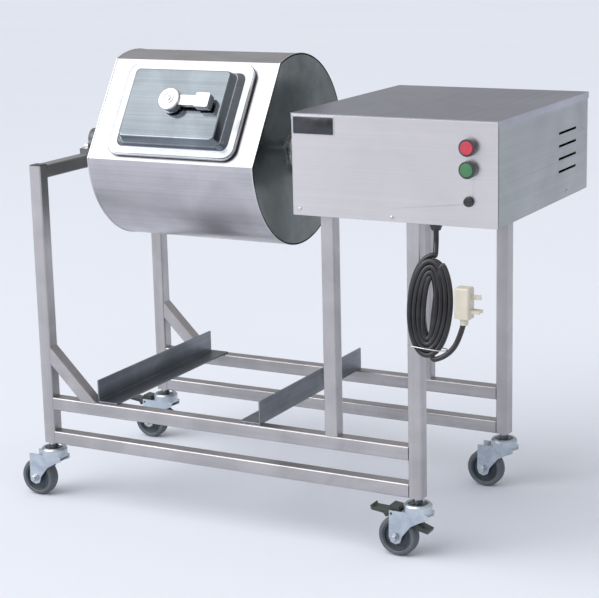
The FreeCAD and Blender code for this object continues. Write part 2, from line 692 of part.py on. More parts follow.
# ---------------------------------------------------------------- controls
def build_button(name, drop):
    """A button body with its ring and contact block, and the cap that slides in it."""
    across = size["housing_start"] + size["housing_length"] - size["button_inset"]
    height = size["housing_floor"] + size["housing_height"] - drop
    face = at(across, -size["housing_overhang"], height)
    bore = "(button_cap + seat)"
    hole = "(cap_stem + seat)"
    crown = "button_ring_height + button_proud"
    depth = "(button_ring_height - cap_height - button_travel + button_proud - seat)"
    body = turned(name + "_button_body", (
        (bore, depth), (bore, "button_ring_height"),
        ("button_ring - edge_break", "button_ring_height"),
        ("button_ring", "button_ring_height - edge_break"), ("button_ring", "0"),
        ("button_barrel", "0"), ("button_barrel", "-barrel_length"), (hole, "-barrel_length"),
        (hole, depth)), face, FACING_FRONT)
    block = new_sketch(body, "XY_Plane", "-barrel_length")
    half = "contact_side / 2"
    draw_rectangle(block, "-" + half, "-" + half, half, half)
    pad(body, block, "contact_height", back=True)
    turned(name + "_button_cap", (
        ("0", crown), ("button_cap - edge_break", crown), ("button_cap", crown + " - edge_break"),
        ("button_cap", crown + " - cap_height"), ("cap_stem", crown + " - cap_height"),
        ("cap_stem", "button_travel + 2 * edge_break - barrel_length"),
        ("0", "button_travel + 2 * edge_break - barrel_length")), face, FACING_FRONT)


def build_fuse_holder():
    """A panel fuse holder with a round screw cap."""
    across = size["housing_start"] + size["housing_length"] - size["button_inset"]
    height = size["housing_floor"] + size["housing_height"] - size["fuse_drop"]
    face = at(across, -size["housing_overhang"], height)
    rim = "fuse_radius - edge_break"
    body = turned("fuse_holder", (
        ("0", "fuse_height"), (rim + " - edge_break", "fuse_height"),
        (rim, "fuse_height - edge_break"), (rim, "fuse_skirt"), ("fuse_radius", "fuse_skirt"),
        ("fuse_radius", "0"), ("fuse_thread", "0"), ("fuse_thread", "-barrel_length"),
        ("0", "-barrel_length")), face, FACING_FRONT)
    slot = new_sketch(body, "XY_Plane", "fuse_height")
    draw_rectangle(slot, "-fuse_thread", "-fuse_slot / 2", "fuse_thread", "fuse_slot / 2")
    pocket(body, slot, "fuse_slot")


# ---------------------------------------------------------------- drum
tilt = math.radians(size["flat_tilt"])
FLAT_NORMAL = Vector(0, -math.cos(tilt), math.sin(tilt))
FLAT_DOWN = Vector(0, -math.sin(tilt), -math.cos(tilt))
DRUM_TURN = FreeCAD.Rotation(FLAT_NORMAL, FLAT_DOWN, Vector(1, 0, 0), "ZXY")


def drum_place(along=0.0):
    """A point on the drum axis, this far from the drum's left end."""
    return at(size["drum_start"] + along, size["frame_depth"] / 2, size["shaft_height"])


def drum_body(label, along=0.0):
    """A body in the drum's own frame: Z along the axis, X out through the flat."""
    return new_body(label, drum_place(along), DRUM_TURN)


def build_drum():
    """Shell, ends, collar, baffles and the two shaft ends."""
    shell = drum_body("drum_shell", size["end_wall"])
    drawing = new_sketch(shell, "XY_Plane")
    draw_drum_section(drawing, "drum_radius", "flat_distance")
    draw_drum_section(drawing, "inner_radius", "inner_flat")
    pad(shell, drawing, "shell_length")
    mouth = new_sketch(shell, "YZ_Plane", "flat_distance + 1")
    draw_rounded(mouth, "mouth_width", "mouth_length", "mouth_corner", "shell_length / 2")
    pocket(shell, mouth, "drum_wall + 2")
    ends = drum_body("drum_ends")
    for lift in ("0", "drum_length - end_wall"):
        drawing = new_sketch(ends, "XY_Plane", lift)
        draw_drum_section(drawing, "drum_radius", "flat_distance")
        pad(ends, drawing, "end_wall")
    middle = size["drum_length"] / 2
    collar = drum_body("mouth_collar", middle)
    drawing = new_sketch(collar, "YZ_Plane", "flat_distance")
    draw_rounded(drawing, "ring_width", "ring_length", "ring_corner")
    draw_rounded(drawing, "mouth_width", "mouth_length", "mouth_corner")
    pad(collar, drawing, "collar_height")
    build_baffles()
    collar = "hub_height + collar_length"
    reach = "(drum_start + stub_proud)"
    turned("left_trunnion", (
        ("0", "0"), ("hub_radius", "0"), ("hub_radius", "-hub_height"),
        ("stub_radius + shaft_collar", "-hub_height"),
        ("stub_radius + shaft_collar / 2", "-(" + collar + ")"),
        ("stub_radius", "-(" + collar + ")"), ("stub_radius", "edge_break - " + reach),
        ("stub_radius - edge_break", "-" + reach), ("0", "-" + reach)),
        drum_place(), DRUM_TURN)
    reach = ("(housing_start + sheet + gearbox_gap + gearbox_length + shaft_proud"
             " - drum_start - drum_length)")
    turned("drive_trunnion", (
        ("0", "0"), ("hub_radius", "0"), ("hub_radius", "hub_height"),
        ("shaft_radius + shaft_collar", "hub_height"),
        ("shaft_radius + shaft_collar / 2", collar), ("shaft_radius", collar),
        ("shaft_radius", reach), ("0", reach)),
        drum_place(size["drum_length"]), DRUM_TURN)


def build_baffles():
    """Folded mixing baffles that stand off the drum's inner wall, away from the mouth."""
    turn = DRUM_TURN.multiply(FreeCAD.Rotation(Vector(0, 0, 1), FIRST_BAFFLE))
    along = size["end_wall"] + size["baffle_end_gap"]
    body = new_body("drum_baffles", drum_place(along), turn)
    drawing = new_sketch(body, "XY_Plane")
    foot = "(inner_radius - baffle_gap)"
    crest = "(inner_radius - baffle_height)"
    side = "baffle_foot / 2"
    inside = "(baffle_foot / 2 - 1.6 * baffle_wall)"
    draw_outline(drawing, ((foot, "-" + side), (crest, "-baffle_tip / 2"),
                           (crest, "baffle_tip / 2"), (foot, side), (foot, inside),
                           (crest + " + 2.5 * baffle_wall", "0"), (foot, "-" + inside)))
    fin = pad(body, drawing, "shell_length - 2 * baffle_end_gap")
    doc.recompute()
    pattern = body.newObject("PartDesign::PolarPattern", "drum_baffles_pattern")
    pattern.Originals = [fin]
    pattern.Axis = (drawing, ["N_Axis"])
    pattern.Angle = BAFFLE_SPREAD
    pattern.Occurrences = BAFFLES
    body.Tip = pattern


# ---------------------------------------------------------------- lid
def build_lid():
    """Pressed lid, gasket, lever with its spindle, and the locking bar."""
    middle = size["drum_length"] / 2
    lid = drum_body("lid", middle)
    flange = new_sketch(lid, "YZ_Plane", "lid_seat")
    draw_rounded(flange, "lid_width", "lid_length", "lid_corner")
    pad(lid, flange, "flange_height")
    levels = (("step_width", "step_length", "step_corner", "lid_seat + flange_height"),
              ("tread_width", "tread_length", "tread_corner",
               "lid_seat + flange_height + step_height"),
              ("plateau_width", "plateau_length", "plateau_corner", "lid_top"))
    loft_through(lid, levels[:2])
    loft_through(lid, levels[1:])
    hollow = (("hollow_foot_width", "hollow_foot_length", "hollow_foot_corner", "lid_seat"),
              ("hollow_tread_width", "hollow_tread_length", "hollow_tread_corner",
               "lid_seat + flange_height + step_height - lid_wall"),
              ("hollow_width", "hollow_length", "hollow_corner", "lid_top - lid_wall"))
    loft_through(lid, hollow[:2], "SubtractiveLoft")
    loft_through(lid, hollow[1:], "SubtractiveLoft")
    boss = new_sketch(lid, "YZ_Plane", "lid_top - lid_wall")
    draw_circle(boss, "0", "0", "lid_boss_radius")
    pad(lid, boss, "lid_boss_height + lid_wall")
    bore = new_sketch(lid, "YZ_Plane", "boss_top + 1")
    draw_circle(bore, "0", "0", "spindle_radius + fit")
    pocket(lid, bore, "lid_boss_height + lid_wall + 2")

    gasket = drum_body("lid_gasket", middle)
    drawing = new_sketch(gasket, "YZ_Plane", "flat_distance")
    draw_rounded(drawing, "gasket_outer_width", "gasket_outer_length", "gasket_outer_corner")
    draw_rounded(drawing, "gasket_inner_width", "gasket_inner_length", "gasket_inner_corner")
    pad(gasket, drawing, "gasket_height")

    lever = drum_body("lid_lever", middle)
    spindle = new_sketch(lever, "YZ_Plane", "bar_top - bar_height - spindle_end")
    draw_circle(spindle, "0", "0", "spindle_radius")
    pad(lever, spindle, "boss_top + 2 * seat - bar_top + bar_height + spindle_end")
    knob = new_sketch(lever, "YZ_Plane", "boss_top + seat")
    draw_circle(knob, "0", "0", "knob_radius")
    pad(lever, knob, "knob_height")
    arm = new_sketch(lever, "YZ_Plane", "boss_top + lever_lift")
    draw_rectangle(arm, "-lever_width / 2", "0", "lever_width / 2", "lever_reach")
    pad(lever, arm, "lever_height")
    grip = new_sketch(lever, "YZ_Plane", "boss_top + grip_lift")
    draw_rectangle(grip, "-lever_width / 2 - grip_margin", "lever_reach - grip_length",
                   "lever_width / 2 + grip_margin", "lever_reach")
    block = pad(lever, grip, "grip_height")
    crown = size["boss_top"] + size["seat"] + size["knob_height"]
    corner = size["lever_width"] / 2 + size["grip_margin"]
    soften(lever, block, lambda edge, centre: edge.Curve.TypeId != LINE
           and edge.BoundBox.XMin > crown - TOUCH or abs(centre.y) > corner - TOUCH
           and edge.BoundBox.ZLength < TOUCH and edge.BoundBox.XLength > 1, "lever_round")

    bar = drum_body("lid_locking_bar", middle)
    drawing = new_sketch(bar, "YZ_Plane", "bar_top")
    draw_rectangle(drawing, "-bar_width / 2", "-bar_length / 2", "bar_width / 2", "bar_length / 2")
    draw_circle(drawing, "0", "0", "spindle_radius")
    pad(bar, drawing, "bar_height", back=True)


def loft_through(body, levels, kind="AdditiveLoft"):
    """A loft between two rounded rectangles, each (across, along, corner, height)."""
    profiles = []
    for across, along, corner, height in levels:
        drawing = new_sketch(body, "YZ_Plane", height)
        draw_rounded(drawing, across, along, corner)
        profiles.append(drawing)
    doc.recompute()
    loft = body.newObject("PartDesign::" + kind, body.Name + "_loft")
    loft.Profile = profiles[0]
    loft.Sections = profiles[1:]
    loft.Ruled = True
    doc.recompute()
    return loft


# ---------------------------------------------------------------- bearings and drive
def build_bearings():
    """The pillow block on the crossbar and the flange bearing on the housing."""
    half = size["tube_side"] / 2
    block = new_body("bearing_block", at(half, size["frame_depth"] / 2, size["shaft_height"]))
    foot = new_sketch(block, "YZ_Plane")
    low = "(shaft_height - left_post_height)"
    draw_rectangle(foot, "-bearing_foot / 2", "-" + low, "bearing_foot / 2",
                   "-" + low + " + bearing_foot_height")
    pad(block, foot, "bearing_width", middle=True)
    web = new_sketch(block, "YZ_Plane")
    splay = "(bearing_ring + bearing_splay)"
    draw_outline(web, (("-" + splay, "-" + low), (splay, "-" + low),
                       ("bearing_ring", "0"), ("-bearing_ring", "0")))
    pad(block, web, "bearing_width - 2 * edge_break", middle=True)
    ring = new_sketch(block, "YZ_Plane")
    draw_circle(ring, "0", "0", "bearing_ring")
    pad(block, ring, "bearing_width", middle=True)
    bore = new_sketch(block, "YZ_Plane")
    draw_circle(bore, "0", "0", "stub_radius + fit")
    pocket(block, bore, "2 * bearing_width", middle=True)
    holes = new_sketch(block, "XY_Plane", "-" + low + " + bearing_foot_height")
    for sign in ("", "-"):
        draw_circle(holes, "0", sign + "bearing_bolt_pitch / 2", "bearing_bolt_radius + seat")
    pocket(block, holes, "bearing_foot_height")

    base = at(size["housing_start"], size["frame_depth"] / 2, size["shaft_height"])
    unit = new_body("flange_bearing", base)
    plate = new_sketch(unit, "YZ_Plane")
    draw_rounded(plate, "flange_bearing_side", "flange_bearing_side", "flange_bearing_corner")
    pad(unit, plate, "flange_bearing_height", back=True)
    nose = new_sketch(unit, "YZ_Plane", "-flange_bearing_height")
    draw_circle(nose, "0", "0", "shaft_radius + flange_bearing_wall")
    pad(unit, nose, "flange_bearing_nose", back=True)
    bore = new_sketch(unit, "YZ_Plane", "edge_break")
    draw_circle(bore, "0", "0", "shaft_radius + fit")
    pocket(unit, bore, "flange_bearing_height + flange_bearing_nose + 2 * edge_break")


def build_drive():
    """Worm gearmotor on the shaft and the vacuum pump beside it, inside the housing."""
    start = size["housing_start"] + size["sheet"] + size["gearbox_gap"]
    base = at(start, size["frame_depth"] / 2, size["shaft_height"])
    body = new_body("gear_motor", base)
    case = new_sketch(body, "YZ_Plane")
    low = "(shaft_height - housing_floor - sheet)"
    draw_rectangle(case, "-gearbox_width / 2", "-" + low, "gearbox_width / 2", "gearbox_top")
    pad(body, case, "gearbox_length")
    motor = new_sketch(body, "XZ_Plane", "-gearbox_width / 2")
    draw_circle(motor, "gearbox_length / 2 + motor_shift", "-motor_drop", "motor_radius")
    pad(body, motor, "motor_length", back=True)
    bore = new_sketch(body, "YZ_Plane", "-edge_break")
    draw_circle(bore, "0", "0", "shaft_radius + fit")
    pocket(body, bore, "gearbox_length + 2 * edge_break", back=True)

    wall = size["housing_start"] + size["housing_length"] - size["sheet"]
    left = wall - size["pump_gap"] - size["pump_length"]
    front = size["barrel_length"] + size["contact_height"] + size["contact_gap"]
    base = at(left, front - size["housing_overhang"], size["housing_floor"] + size["sheet"])
    pump = new_body("vacuum_pump", base)
    foot = new_sketch(pump, "XY_Plane")
    draw_rectangle(foot, "0", "0", "pump_length", "pump_width")
    pad(pump, foot, "pump_foot")
    barrel = new_sketch(pump, "YZ_Plane")
    draw_circle(barrel, "pump_width / 2", "pump_foot + pump_barrel - sheet", "pump_barrel")
    pad(pump, barrel, "pump_length")
    head = new_sketch(pump, "XY_Plane", "pump_foot")
    draw_rectangle(head, "pump_margin", "pump_margin", "pump_margin + pump_head",
                   "pump_width - pump_margin")
    pad(pump, head, "pump_height - pump_foot")


# ---------------------------------------------------------------- casters
def build_casters():
    """Four swivel casters that trail to the left, two of them with a brake."""
    half = size["tube_side"] / 2
    for name, right, back, braked in CASTERS:
        x = size["frame_length"] - half if right else half
        y = size["frame_depth"] - half if back else half
        axis = at(x, y, -size["caster_height"])
        build_stem(name + "_stem", axis)
        build_fork(name + "_fork", axis, braked)
        hub = axis + Vector(-size["trail"], 0, size["wheel_radius"])
        build_wheel(name, hub)
        if braked:
            build_brake(name + "_brake", axis)


def build_stem(label, axis):
    """The socket plug in the post, the nut under it and the stem, turned as one."""
    body = new_body(label, axis)
    drawing = new_sketch(body, "XZ_Plane")
    head = "(crown_under - seat)"
    lip = "stem_radius + rivet_lip"
    draw_outline(drawing, (("0", head + " - rivet_height"), (lip, head + " - rivet_height"),
                           (lip, head), ("stem_radius", head),
                           ("stem_radius", "caster_height - nut_height"),
                           ("stem_neck", "caster_height - nut_height"),
                           ("stem_neck", "caster_height"), ("0", "caster_height")))
    revolve(body, drawing)
    plug = new_sketch(body, "XY_Plane", "caster_height")
    half = "socket_side / 2"
    draw_rectangle(plug, "-" + half, "-" + half, half, half)
    pad(body, plug, "plug_depth")


def build_fork(label, axis, braked):
    """A pressed fork: two side plates under a crown, a swivel cup and the axle."""
    body = new_body(label, axis)
    side = new_sketch(body, "XZ_Plane")
    draw_outline(side, (("edge_break - trail - fork_foot", "fork_top"),
                        ("-trail - fork_foot", "wheel_radius"),
                        ("-trail - fork_foot * 0.7", "wheel_radius - fork_foot * 0.72"),
                        ("-trail", "wheel_radius - fork_foot"),
                        ("-trail + fork_foot * 0.72", "wheel_radius - fork_foot * 0.7"),
                        ("-trail + fork_foot", "wheel_radius + crown_wall"),
                        ("fork_foot - trail * 0.55", "fork_top - 2 * fork_foot"),
                        ("fork_foot - crown_wall", "fork_top - cup_height"),
                        ("cup_radius - 2 * edge_break", "fork_top - fork_foot + crown_wall"),
                        ("cup_radius - edge_break", "fork_top")))
    pad(body, side, "fork_width", middle=True)
    gap = new_sketch(body, "XZ_Plane")
    left = "-trail - 2 * fork_foot"
    step = "-cup_radius - edge_break"
    above = "fork_top + edge_break"
    draw_outline(gap, ((left, "0"), ("2 * cup_radius", "0"), ("2 * cup_radius", "crown_under"),
                       (step, "crown_under"), (step, above), (left, above)))
    pocket(body, gap, "fork_width - 2 * fork_wall", middle=True)
    cup = new_sketch(body, "XZ_Plane")
    inner = "(stem_radius + fit)"
    rim = "fork_top + cup_height"
    draw_outline(cup, ((inner, "crown_under"), ("fork_width / 2 - edge_break", "crown_under"),
                       ("cup_radius", "fork_top"), ("cup_radius", rim + " - crown_wall"),
                       ("cup_radius - crown_wall", rim), ("cup_recess", rim),
                       ("cup_recess - 2 * edge_break", "fork_top + nut_height"),
                       (inner, "fork_top + nut_height")))
    revolve(body, cup)
    bore = new_sketch(body, "XY_Plane", rim)
    draw_circle(bore, "0", "0", inner)
    pocket(body, bore, "cup_height + 2 * crown_wall")
    if braked:
        pin = new_sketch(body, "XZ_Plane")
        draw_circle(pin, "-trail - pin_back", "fork_top - pin_drop", "pin_radius + fit")
        pocket(body, pin, "fork_width + 2 * edge_break", middle=True)
    axle = new_sketch(body, "XZ_Plane")
    draw_circle(axle, "-trail", "wheel_radius", "axle_radius")
    pad(body, axle, "fork_width", middle=True)
    for lift, back in (("fork_width / 2", False), ("-fork_width / 2", True)):
        head = new_sketch(body, "XZ_Plane", lift)
        draw_circle(head, "-trail", "wheel_radius", "axle_radius + axle_head")
        pad(body, head, "axle_proud", back=back)


def build_wheel(name, hub):
    """A hub with a dished face and the tyre round it, both about the axle."""
    half = "wheel_width / 2"
    dish = "(wheel_width / 2 - hub_dish)"
    edge = "(wheel_width / 2 - edge_break)"
    bore = "axle_radius + fit"
    boss = "axle_radius + hub_boss"
    web = "hub_outer - hub_rim"
    turned(name + "_hub", (
        (bore, "-" + half), (boss, "-" + half), (boss, "-" + dish), (web, "-" + dish),
        (web + " + 2 * edge_break", "-" + edge), ("hub_outer", "-" + edge), ("hub_outer", edge),
        (web + " + 2 * edge_break", edge), (web, dish), (boss, dish), (boss, half),
        (bore, half)), hub, ALONG_Y)
    shoulder = "(wheel_width / 2 - 2 * tread_round)"
    turned(name + "_tyre", (
        ("hub_outer", "-" + edge), ("hub_outer + 2 * edge_break", "-" + half),
        ("wheel_radius - tread_round", "-" + half), ("wheel_radius", "-" + shoulder),
        ("wheel_radius", shoulder), ("wheel_radius - tread_round", half),
        ("hub_outer + 2 * edge_break", half), ("hub_outer", edge)), hub, ALONG_Y)


# The brake rocker's outline, from the wheel's axle and the top of the fork crown: the
# pedal's tip, the shoe over the wheel, the release tab and the hump over the crown.
PEDAL_TIP = ((0, 2), (2, -6))
ROCKER = ((-26, -9), (-21, -15.5), (-12, -12), (6, -10), (30, -22), (42, -33), (62, -37),
          (64, -31), (48, -25.5), (33, -16), (24, -11), (8, -6), (5, 7), (-12, 9), (-19, -2))
PEDAL_BACK = ((5, -1), (3, 4))


def build_brake(label, axis):
    """A rocker over the wheel: a foot pedal behind the fork and a release tab in front."""
    body = new_body(label, axis)
    drawing = new_sketch(body, "XZ_Plane")
    outline = []
    for points, start in ((PEDAL_TIP, "-trail - pedal_reach"), (ROCKER, "-trail"),
                          (PEDAL_BACK, "-trail - pedal_reach")):
        outline += [("%s + %r" % (start, x), "fork_top + %r" % z) for x, z in points]
    draw_outline(drawing, outline)
    pad(body, drawing, "wheel_width - edge_break", middle=True)
    pin = new_sketch(body, "XZ_Plane")
    draw_circle(pin, "-trail - pin_back", "fork_top - pin_drop", "pin_radius")
    pad(body, pin, "fork_width", middle=True)


# ---------------------------------------------------------------- mains cord
def cord_tube(label, route):
    """A tube of straight runs through the points, joined by tangent arcs."""
    points = [at(*place) for place in route]
    edges = []
    length = 0.0
    start = points[0]
    for i in range(1, len(points) - 1):
        before = points[i] - points[i - 1]
        after = points[i + 1] - points[i]
        turn = before.getAngle(after)
        reach = TURN_SHARE * min(before.Length, after.Length)
        into = Vector(before).normalize()
        out = Vector(after).normalize()
        enter = points[i] - into * reach
        leave = points[i] + out * reach
        radius = reach / math.tan(turn / 2)
        bend = (out - into).normalize()
        sagitta = radius / math.cos(turn / 2) - radius
        edges.append(Part.LineSegment(start, enter).toShape())
        edges.append(Part.Arc(enter, points[i] + bend * sagitta, leave).toShape())
        length += (enter - start).Length + radius * turn
        print("%s: arc radius %.1f mm" % (label, radius))
        start = leave
    edges.append(Part.LineSegment(start, points[-1]).toShape())
    length += (points[-1] - start).Length
    path = Part.Wire(edges)
    ring = Part.Circle(points[0], points[1] - points[0], size["cord_radius"]).toShape()
    solid = path.makePipeShell([Part.Wire([ring])], True, False)
    print("%s: %.1f mm long, volume ratio %.4f"
          % (label, length, solid.Volume / (length * math.pi * size["cord_radius"] ** 2)))
    feature = doc.addObject("Part::Feature", label)
    feature.Shape = solid
    pieces.append(feature)


def arc_face(outline):
    """A face inside arcs through each three neighbouring points, in the XZ plane."""
    points = [Vector(x, 0, z) for x, z in outline]
    count = len(points)
    edges = []
    for i in range(0, count, 2):
        edges.append(Part.Arc(points[i], points[i + 1], points[(i + 2) % count]).toShape())
    return Part.Face(Part.Wire(edges))


def build_cord():
    """Gland, lead, hanging coil, tail and plug of the mains cord."""
    x, y = LEAD[0][:2]
    floor = size["housing_floor"]
    collar = "gland_thread + gland_collar"
    turned("cord_gland", (
        ("gland_bore", "-gland_drop"), ("gland_thread", "-gland_drop"), (collar, "-plug_round"),
        (collar, "0"), ("gland_thread - seat", "0"), ("gland_thread - seat", "gland_thread"),
        ("gland_bore", "gland_thread")), at(x, y, floor))
    cord_tube("cord_lead", LEAD)
    cord_tube("cord_tail", TAIL)
    coil = doc.addObject("Part::Feature", "cord_coil")
    ring = arc_face(COIL_OUTLINE).cut(arc_face(COIL_GAP))
    ring.translate(Vector(0, -COIL_THICKNESS / 2, 0))
    coil.Shape = ring.extrude(Vector(0, COIL_THICKNESS, 0))
    coil.Placement = FreeCAD.Placement(at(*COIL_PLACE),
                                       FreeCAD.Rotation(Vector(1, 0, 0), -COIL_TILT))
    pieces.append(coil)
    plug = new_body("plug", at(*PLUG_FOOT))
    neck = new_sketch(plug, "XY_Plane")
    draw_circle(neck, "0", "0", "1.5 * cord_radius")
    pad(plug, neck, "plug_neck + edge_break")
    shell = new_sketch(plug, "XY_Plane", "plug_neck")
    half = "plug_width / 2"
    draw_rectangle(shell, "-" + half, "-plug_breadth / 2", half, "plug_breadth / 2")
    block = pad(plug, shell, "plug_length")
    soften(plug, block, lambda edge, centre: centre.z > size["plug_neck"] + TOUCH, "plug_round")
    pins = new_sketch(plug, "YZ_Plane", half)
    for left, low, right, high in PRONGS:
        draw_rectangle(pins, "%r" % left, "%r" % low, "%r" % right, "%r" % high)
    pad(plug, pins, "prong_length")


build_frame()
build_housing()
build_button("stop", size["stop_drop"])
build_button("start", size["stop_drop"] + size["button_pitch"])
build_fuse_holder()
build_drum()
build_lid()
build_bearings()
build_drive()
build_casters()
build_cord()

doc.removeObject(working.Name)
doc.recompute()
for item in doc.Objects:
    if "Invalid" in item.State or "Error" in item.State:
        raise ValueError("%s failed: %s" % (item.Label, item.State))
os.makedirs("parts", exist_ok=True)
for piece in pieces:
    if piece.Shape.isNull() or not piece.Shape.isValid():
        raise ValueError("bad shape: " + piece.Label)
    piece.Shape.exportStep("parts/" + piece.Label + ".step")
print("%d nodes" % len(pieces))
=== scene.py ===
"""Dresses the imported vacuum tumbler: finishes, small fittings, mains cord, studio and camera."""

import logging
import math
from collections.abc import Sequence
from dataclasses import dataclass, replace
from enum import Enum

import bmesh
import bpy
from mathutils import Matrix, Vector


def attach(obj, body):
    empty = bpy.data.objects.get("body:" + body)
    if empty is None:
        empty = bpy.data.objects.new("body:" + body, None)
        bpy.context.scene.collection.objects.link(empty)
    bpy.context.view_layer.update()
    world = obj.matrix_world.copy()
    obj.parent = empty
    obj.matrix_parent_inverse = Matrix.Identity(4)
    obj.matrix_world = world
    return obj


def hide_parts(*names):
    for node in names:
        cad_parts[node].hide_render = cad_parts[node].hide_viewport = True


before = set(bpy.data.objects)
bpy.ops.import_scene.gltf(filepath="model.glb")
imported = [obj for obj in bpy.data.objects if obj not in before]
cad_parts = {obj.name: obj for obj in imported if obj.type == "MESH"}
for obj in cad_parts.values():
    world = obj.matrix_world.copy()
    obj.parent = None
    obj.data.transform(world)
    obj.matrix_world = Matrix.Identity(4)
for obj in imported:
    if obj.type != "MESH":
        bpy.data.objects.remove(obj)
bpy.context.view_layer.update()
LOG = logging.getLogger("tumbler")
MM = 0.001
WHITE = (1.0, 1.0, 1.0, 1.0)
Colour = tuple[float, float, float, float]
Ring = list[Vector]


class Grain(Enum):
    """Which way a surface was brushed; each value stretches the streaks that way."""

    ALONG_X = (2.0, 700.0, 700.0)
    ALONG_Y = (700.0, 2.0, 700.0)
    ALONG_Z = (700.0, 700.0, 2.0)
    EVEN = (420.0, 420.0, 420.0)


# ------------------------------------------------------------------ shader graphs
class Graph:
    """A node tree with short calls for adding and joining nodes."""

    def __init__(self, tree: bpy.types.NodeTree) -> None:
        """Wrap a tree.

        Args:
            tree: The node tree of a material, world or group.
        """
        self.tree = tree

    def set(self, socket: bpy.types.NodeSocket, value: object) -> None:
        """Link a socket to another, or give it a plain value.

        Args:
            socket: The input to set.
            value: A socket to link from, or a plain value.
        """
        if isinstance(value, bpy.types.NodeSocket):
            self.tree.links.new(value, socket)
        else:
            socket.default_value = value

    def node(self, kind: str, **inputs: object) -> bpy.types.Node:
        """Add a node and set its inputs by name.

        Args:
            kind: The node's type.
            inputs: Values or sockets; an underscore stands for a space.

        Returns:
            The new node.
        """
        made = self.tree.nodes.new(kind)
        for name, value in inputs.items():
            self.set(made.inputs[name.replace("_", " ")], value)
        return made

    def math(self, operation: str, first: object, second: object = 0.0) -> bpy.types.NodeSocket:
        """Join two values with a Math node, clamped to 0..1.

        Args:
            operation: The node's operation.
            first: A socket or a number.
            second: A socket or a number.

        Returns:
            The node's output.
        """
        made = self.tree.nodes.new("ShaderNodeMath")
        made.operation = operation
        made.use_clamp = True
        self.set(made.inputs[0], first)
        self.set(made.inputs[1], second)
        return made.outputs[0]

    def remap(self, value: object, low: float, high: float, start: object,
              end: object) -> bpy.types.NodeSocket:
        """Map a value from low..high to start..end.

        Args:
            value: A socket or a number.
            low: Where the value starts.
            high: Where it ends.
            start: What low becomes.
            end: What high becomes.

        Returns:
            The mapped value.
        """
        made = self.node("ShaderNodeMapRange", Value=value, From_Min=low, From_Max=high,
                         To_Min=start, To_Max=end)
        return made.outputs["Result"]

    def mix(self, factor: object, first: object, second: object) -> bpy.types.NodeSocket:
        """Mix two colours.

        Args:
            factor: Share of the second.
            first: A socket or a colour.
            second: A socket or a colour.

        Returns:
            The mixed colour.
        """
        made = self.tree.nodes.new("ShaderNodeMix")
        made.data_type = "RGBA"
        self.set(made.inputs[0], factor)
        self.set(made.inputs[6], first)
        self.set(made.inputs[7], second)
        return made.outputs[2]

    def group(self, tree: bpy.types.NodeTree, **inputs: object) -> bpy.types.Node:
        """Place a node group with its own input values.

        Args:
            tree: The group's tree.
            inputs: Values or sockets; an underscore stands for a space.

        Returns:
            The new node.
        """
        made = self.tree.nodes.new("ShaderNodeGroup")
        made.node_tree = tree
        for name, value in inputs.items():
            self.set(made.inputs[name.replace("_", " ")], value)
        return made


def new_group(name: str, inputs: dict[str, str], outputs: dict[str, str]
              ) -> tuple[Graph, bpy.types.Node, bpy.types.Node]:
    """Make an empty shader node group.

    Args:
        name: The group's name.
        inputs: Input names and their socket types.
        outputs: Output names and their socket types.

    Returns:
        The graph, its input node and its output node.
    """
    tree = bpy.data.node_groups.new(name, "ShaderNodeTree")
    for label, kind in inputs.items():
        tree.interface.new_socket(label, in_out="INPUT", socket_type=kind)
    for label, kind in outputs.items():
        tree.interface.new_socket(label, in_out="OUTPUT", socket_type=kind)
    return Graph(tree), tree.nodes.new("NodeGroupInput"), tree.nodes.new("NodeGroupOutput")


def grain_group() -> bpy.types.NodeTree:
    """Brushed streaks: a value that varies across the brushing, and a bump normal.

    Returns:
        The group's tree.
    """
    graph, given, result = new_group(
        "Brushed_grain",
        {"Coordinates": "NodeSocketVector", "Stretch": "NodeSocketVector",
         "Depth": "NodeSocketFloat"},
        {"Streaks": "NodeSocketFloat", "Normal": "NodeSocketVector"})
    stretched = graph.tree.nodes.new("ShaderNodeVectorMath")
    stretched.operation = "MULTIPLY"
    graph.set(stretched.inputs[0], given.outputs["Coordinates"])
    graph.set(stretched.inputs[1], given.outputs["Stretch"])
    fine = graph.node("ShaderNodeTexNoise", Vector=stretched.outputs[0], Scale=1.0, Detail=3.0,
                      Roughness=0.6)
    coarse = graph.node("ShaderNodeTexNoise", Vector=stretched.outputs[0], Scale=0.14,
                        Detail=2.0, Roughness=0.5)
    streaks = graph.math("ADD", graph.math("MULTIPLY", fine.outputs[0], 0.6),
                         graph.math("MULTIPLY", coarse.outputs[0], 0.4))
    bump = graph.node("ShaderNodeBump", Strength=given.outputs["Depth"], Distance=0.0002,
                      Height=streaks)
    graph.set(result.inputs["Streaks"], graph.remap(streaks, 0.34, 0.66, 0.0, 1.0))
    graph.set(result.inputs["Normal"], bump.outputs["Normal"])
    return graph.tree


def smudge_group() -> bpy.types.NodeTree:
    """Large soft clouds of handling and polishing marks.

    Returns:
        The group's tree.
    """
    graph, given, result = new_group(
        "Handling_marks", {"Coordinates": "NodeSocketVector", "Size": "NodeSocketFloat"},
        {"Mask": "NodeSocketFloat"})
    cloud = graph.node("ShaderNodeTexNoise", Vector=given.outputs["Coordinates"],
                       Scale=given.outputs["Size"], Detail=4.0, Roughness=0.55,
                       Distortion=0.8)
    graph.set(result.inputs["Mask"], graph.remap(cloud.outputs[0], 0.36, 0.66, 0.0, 1.0))
    return graph.tree


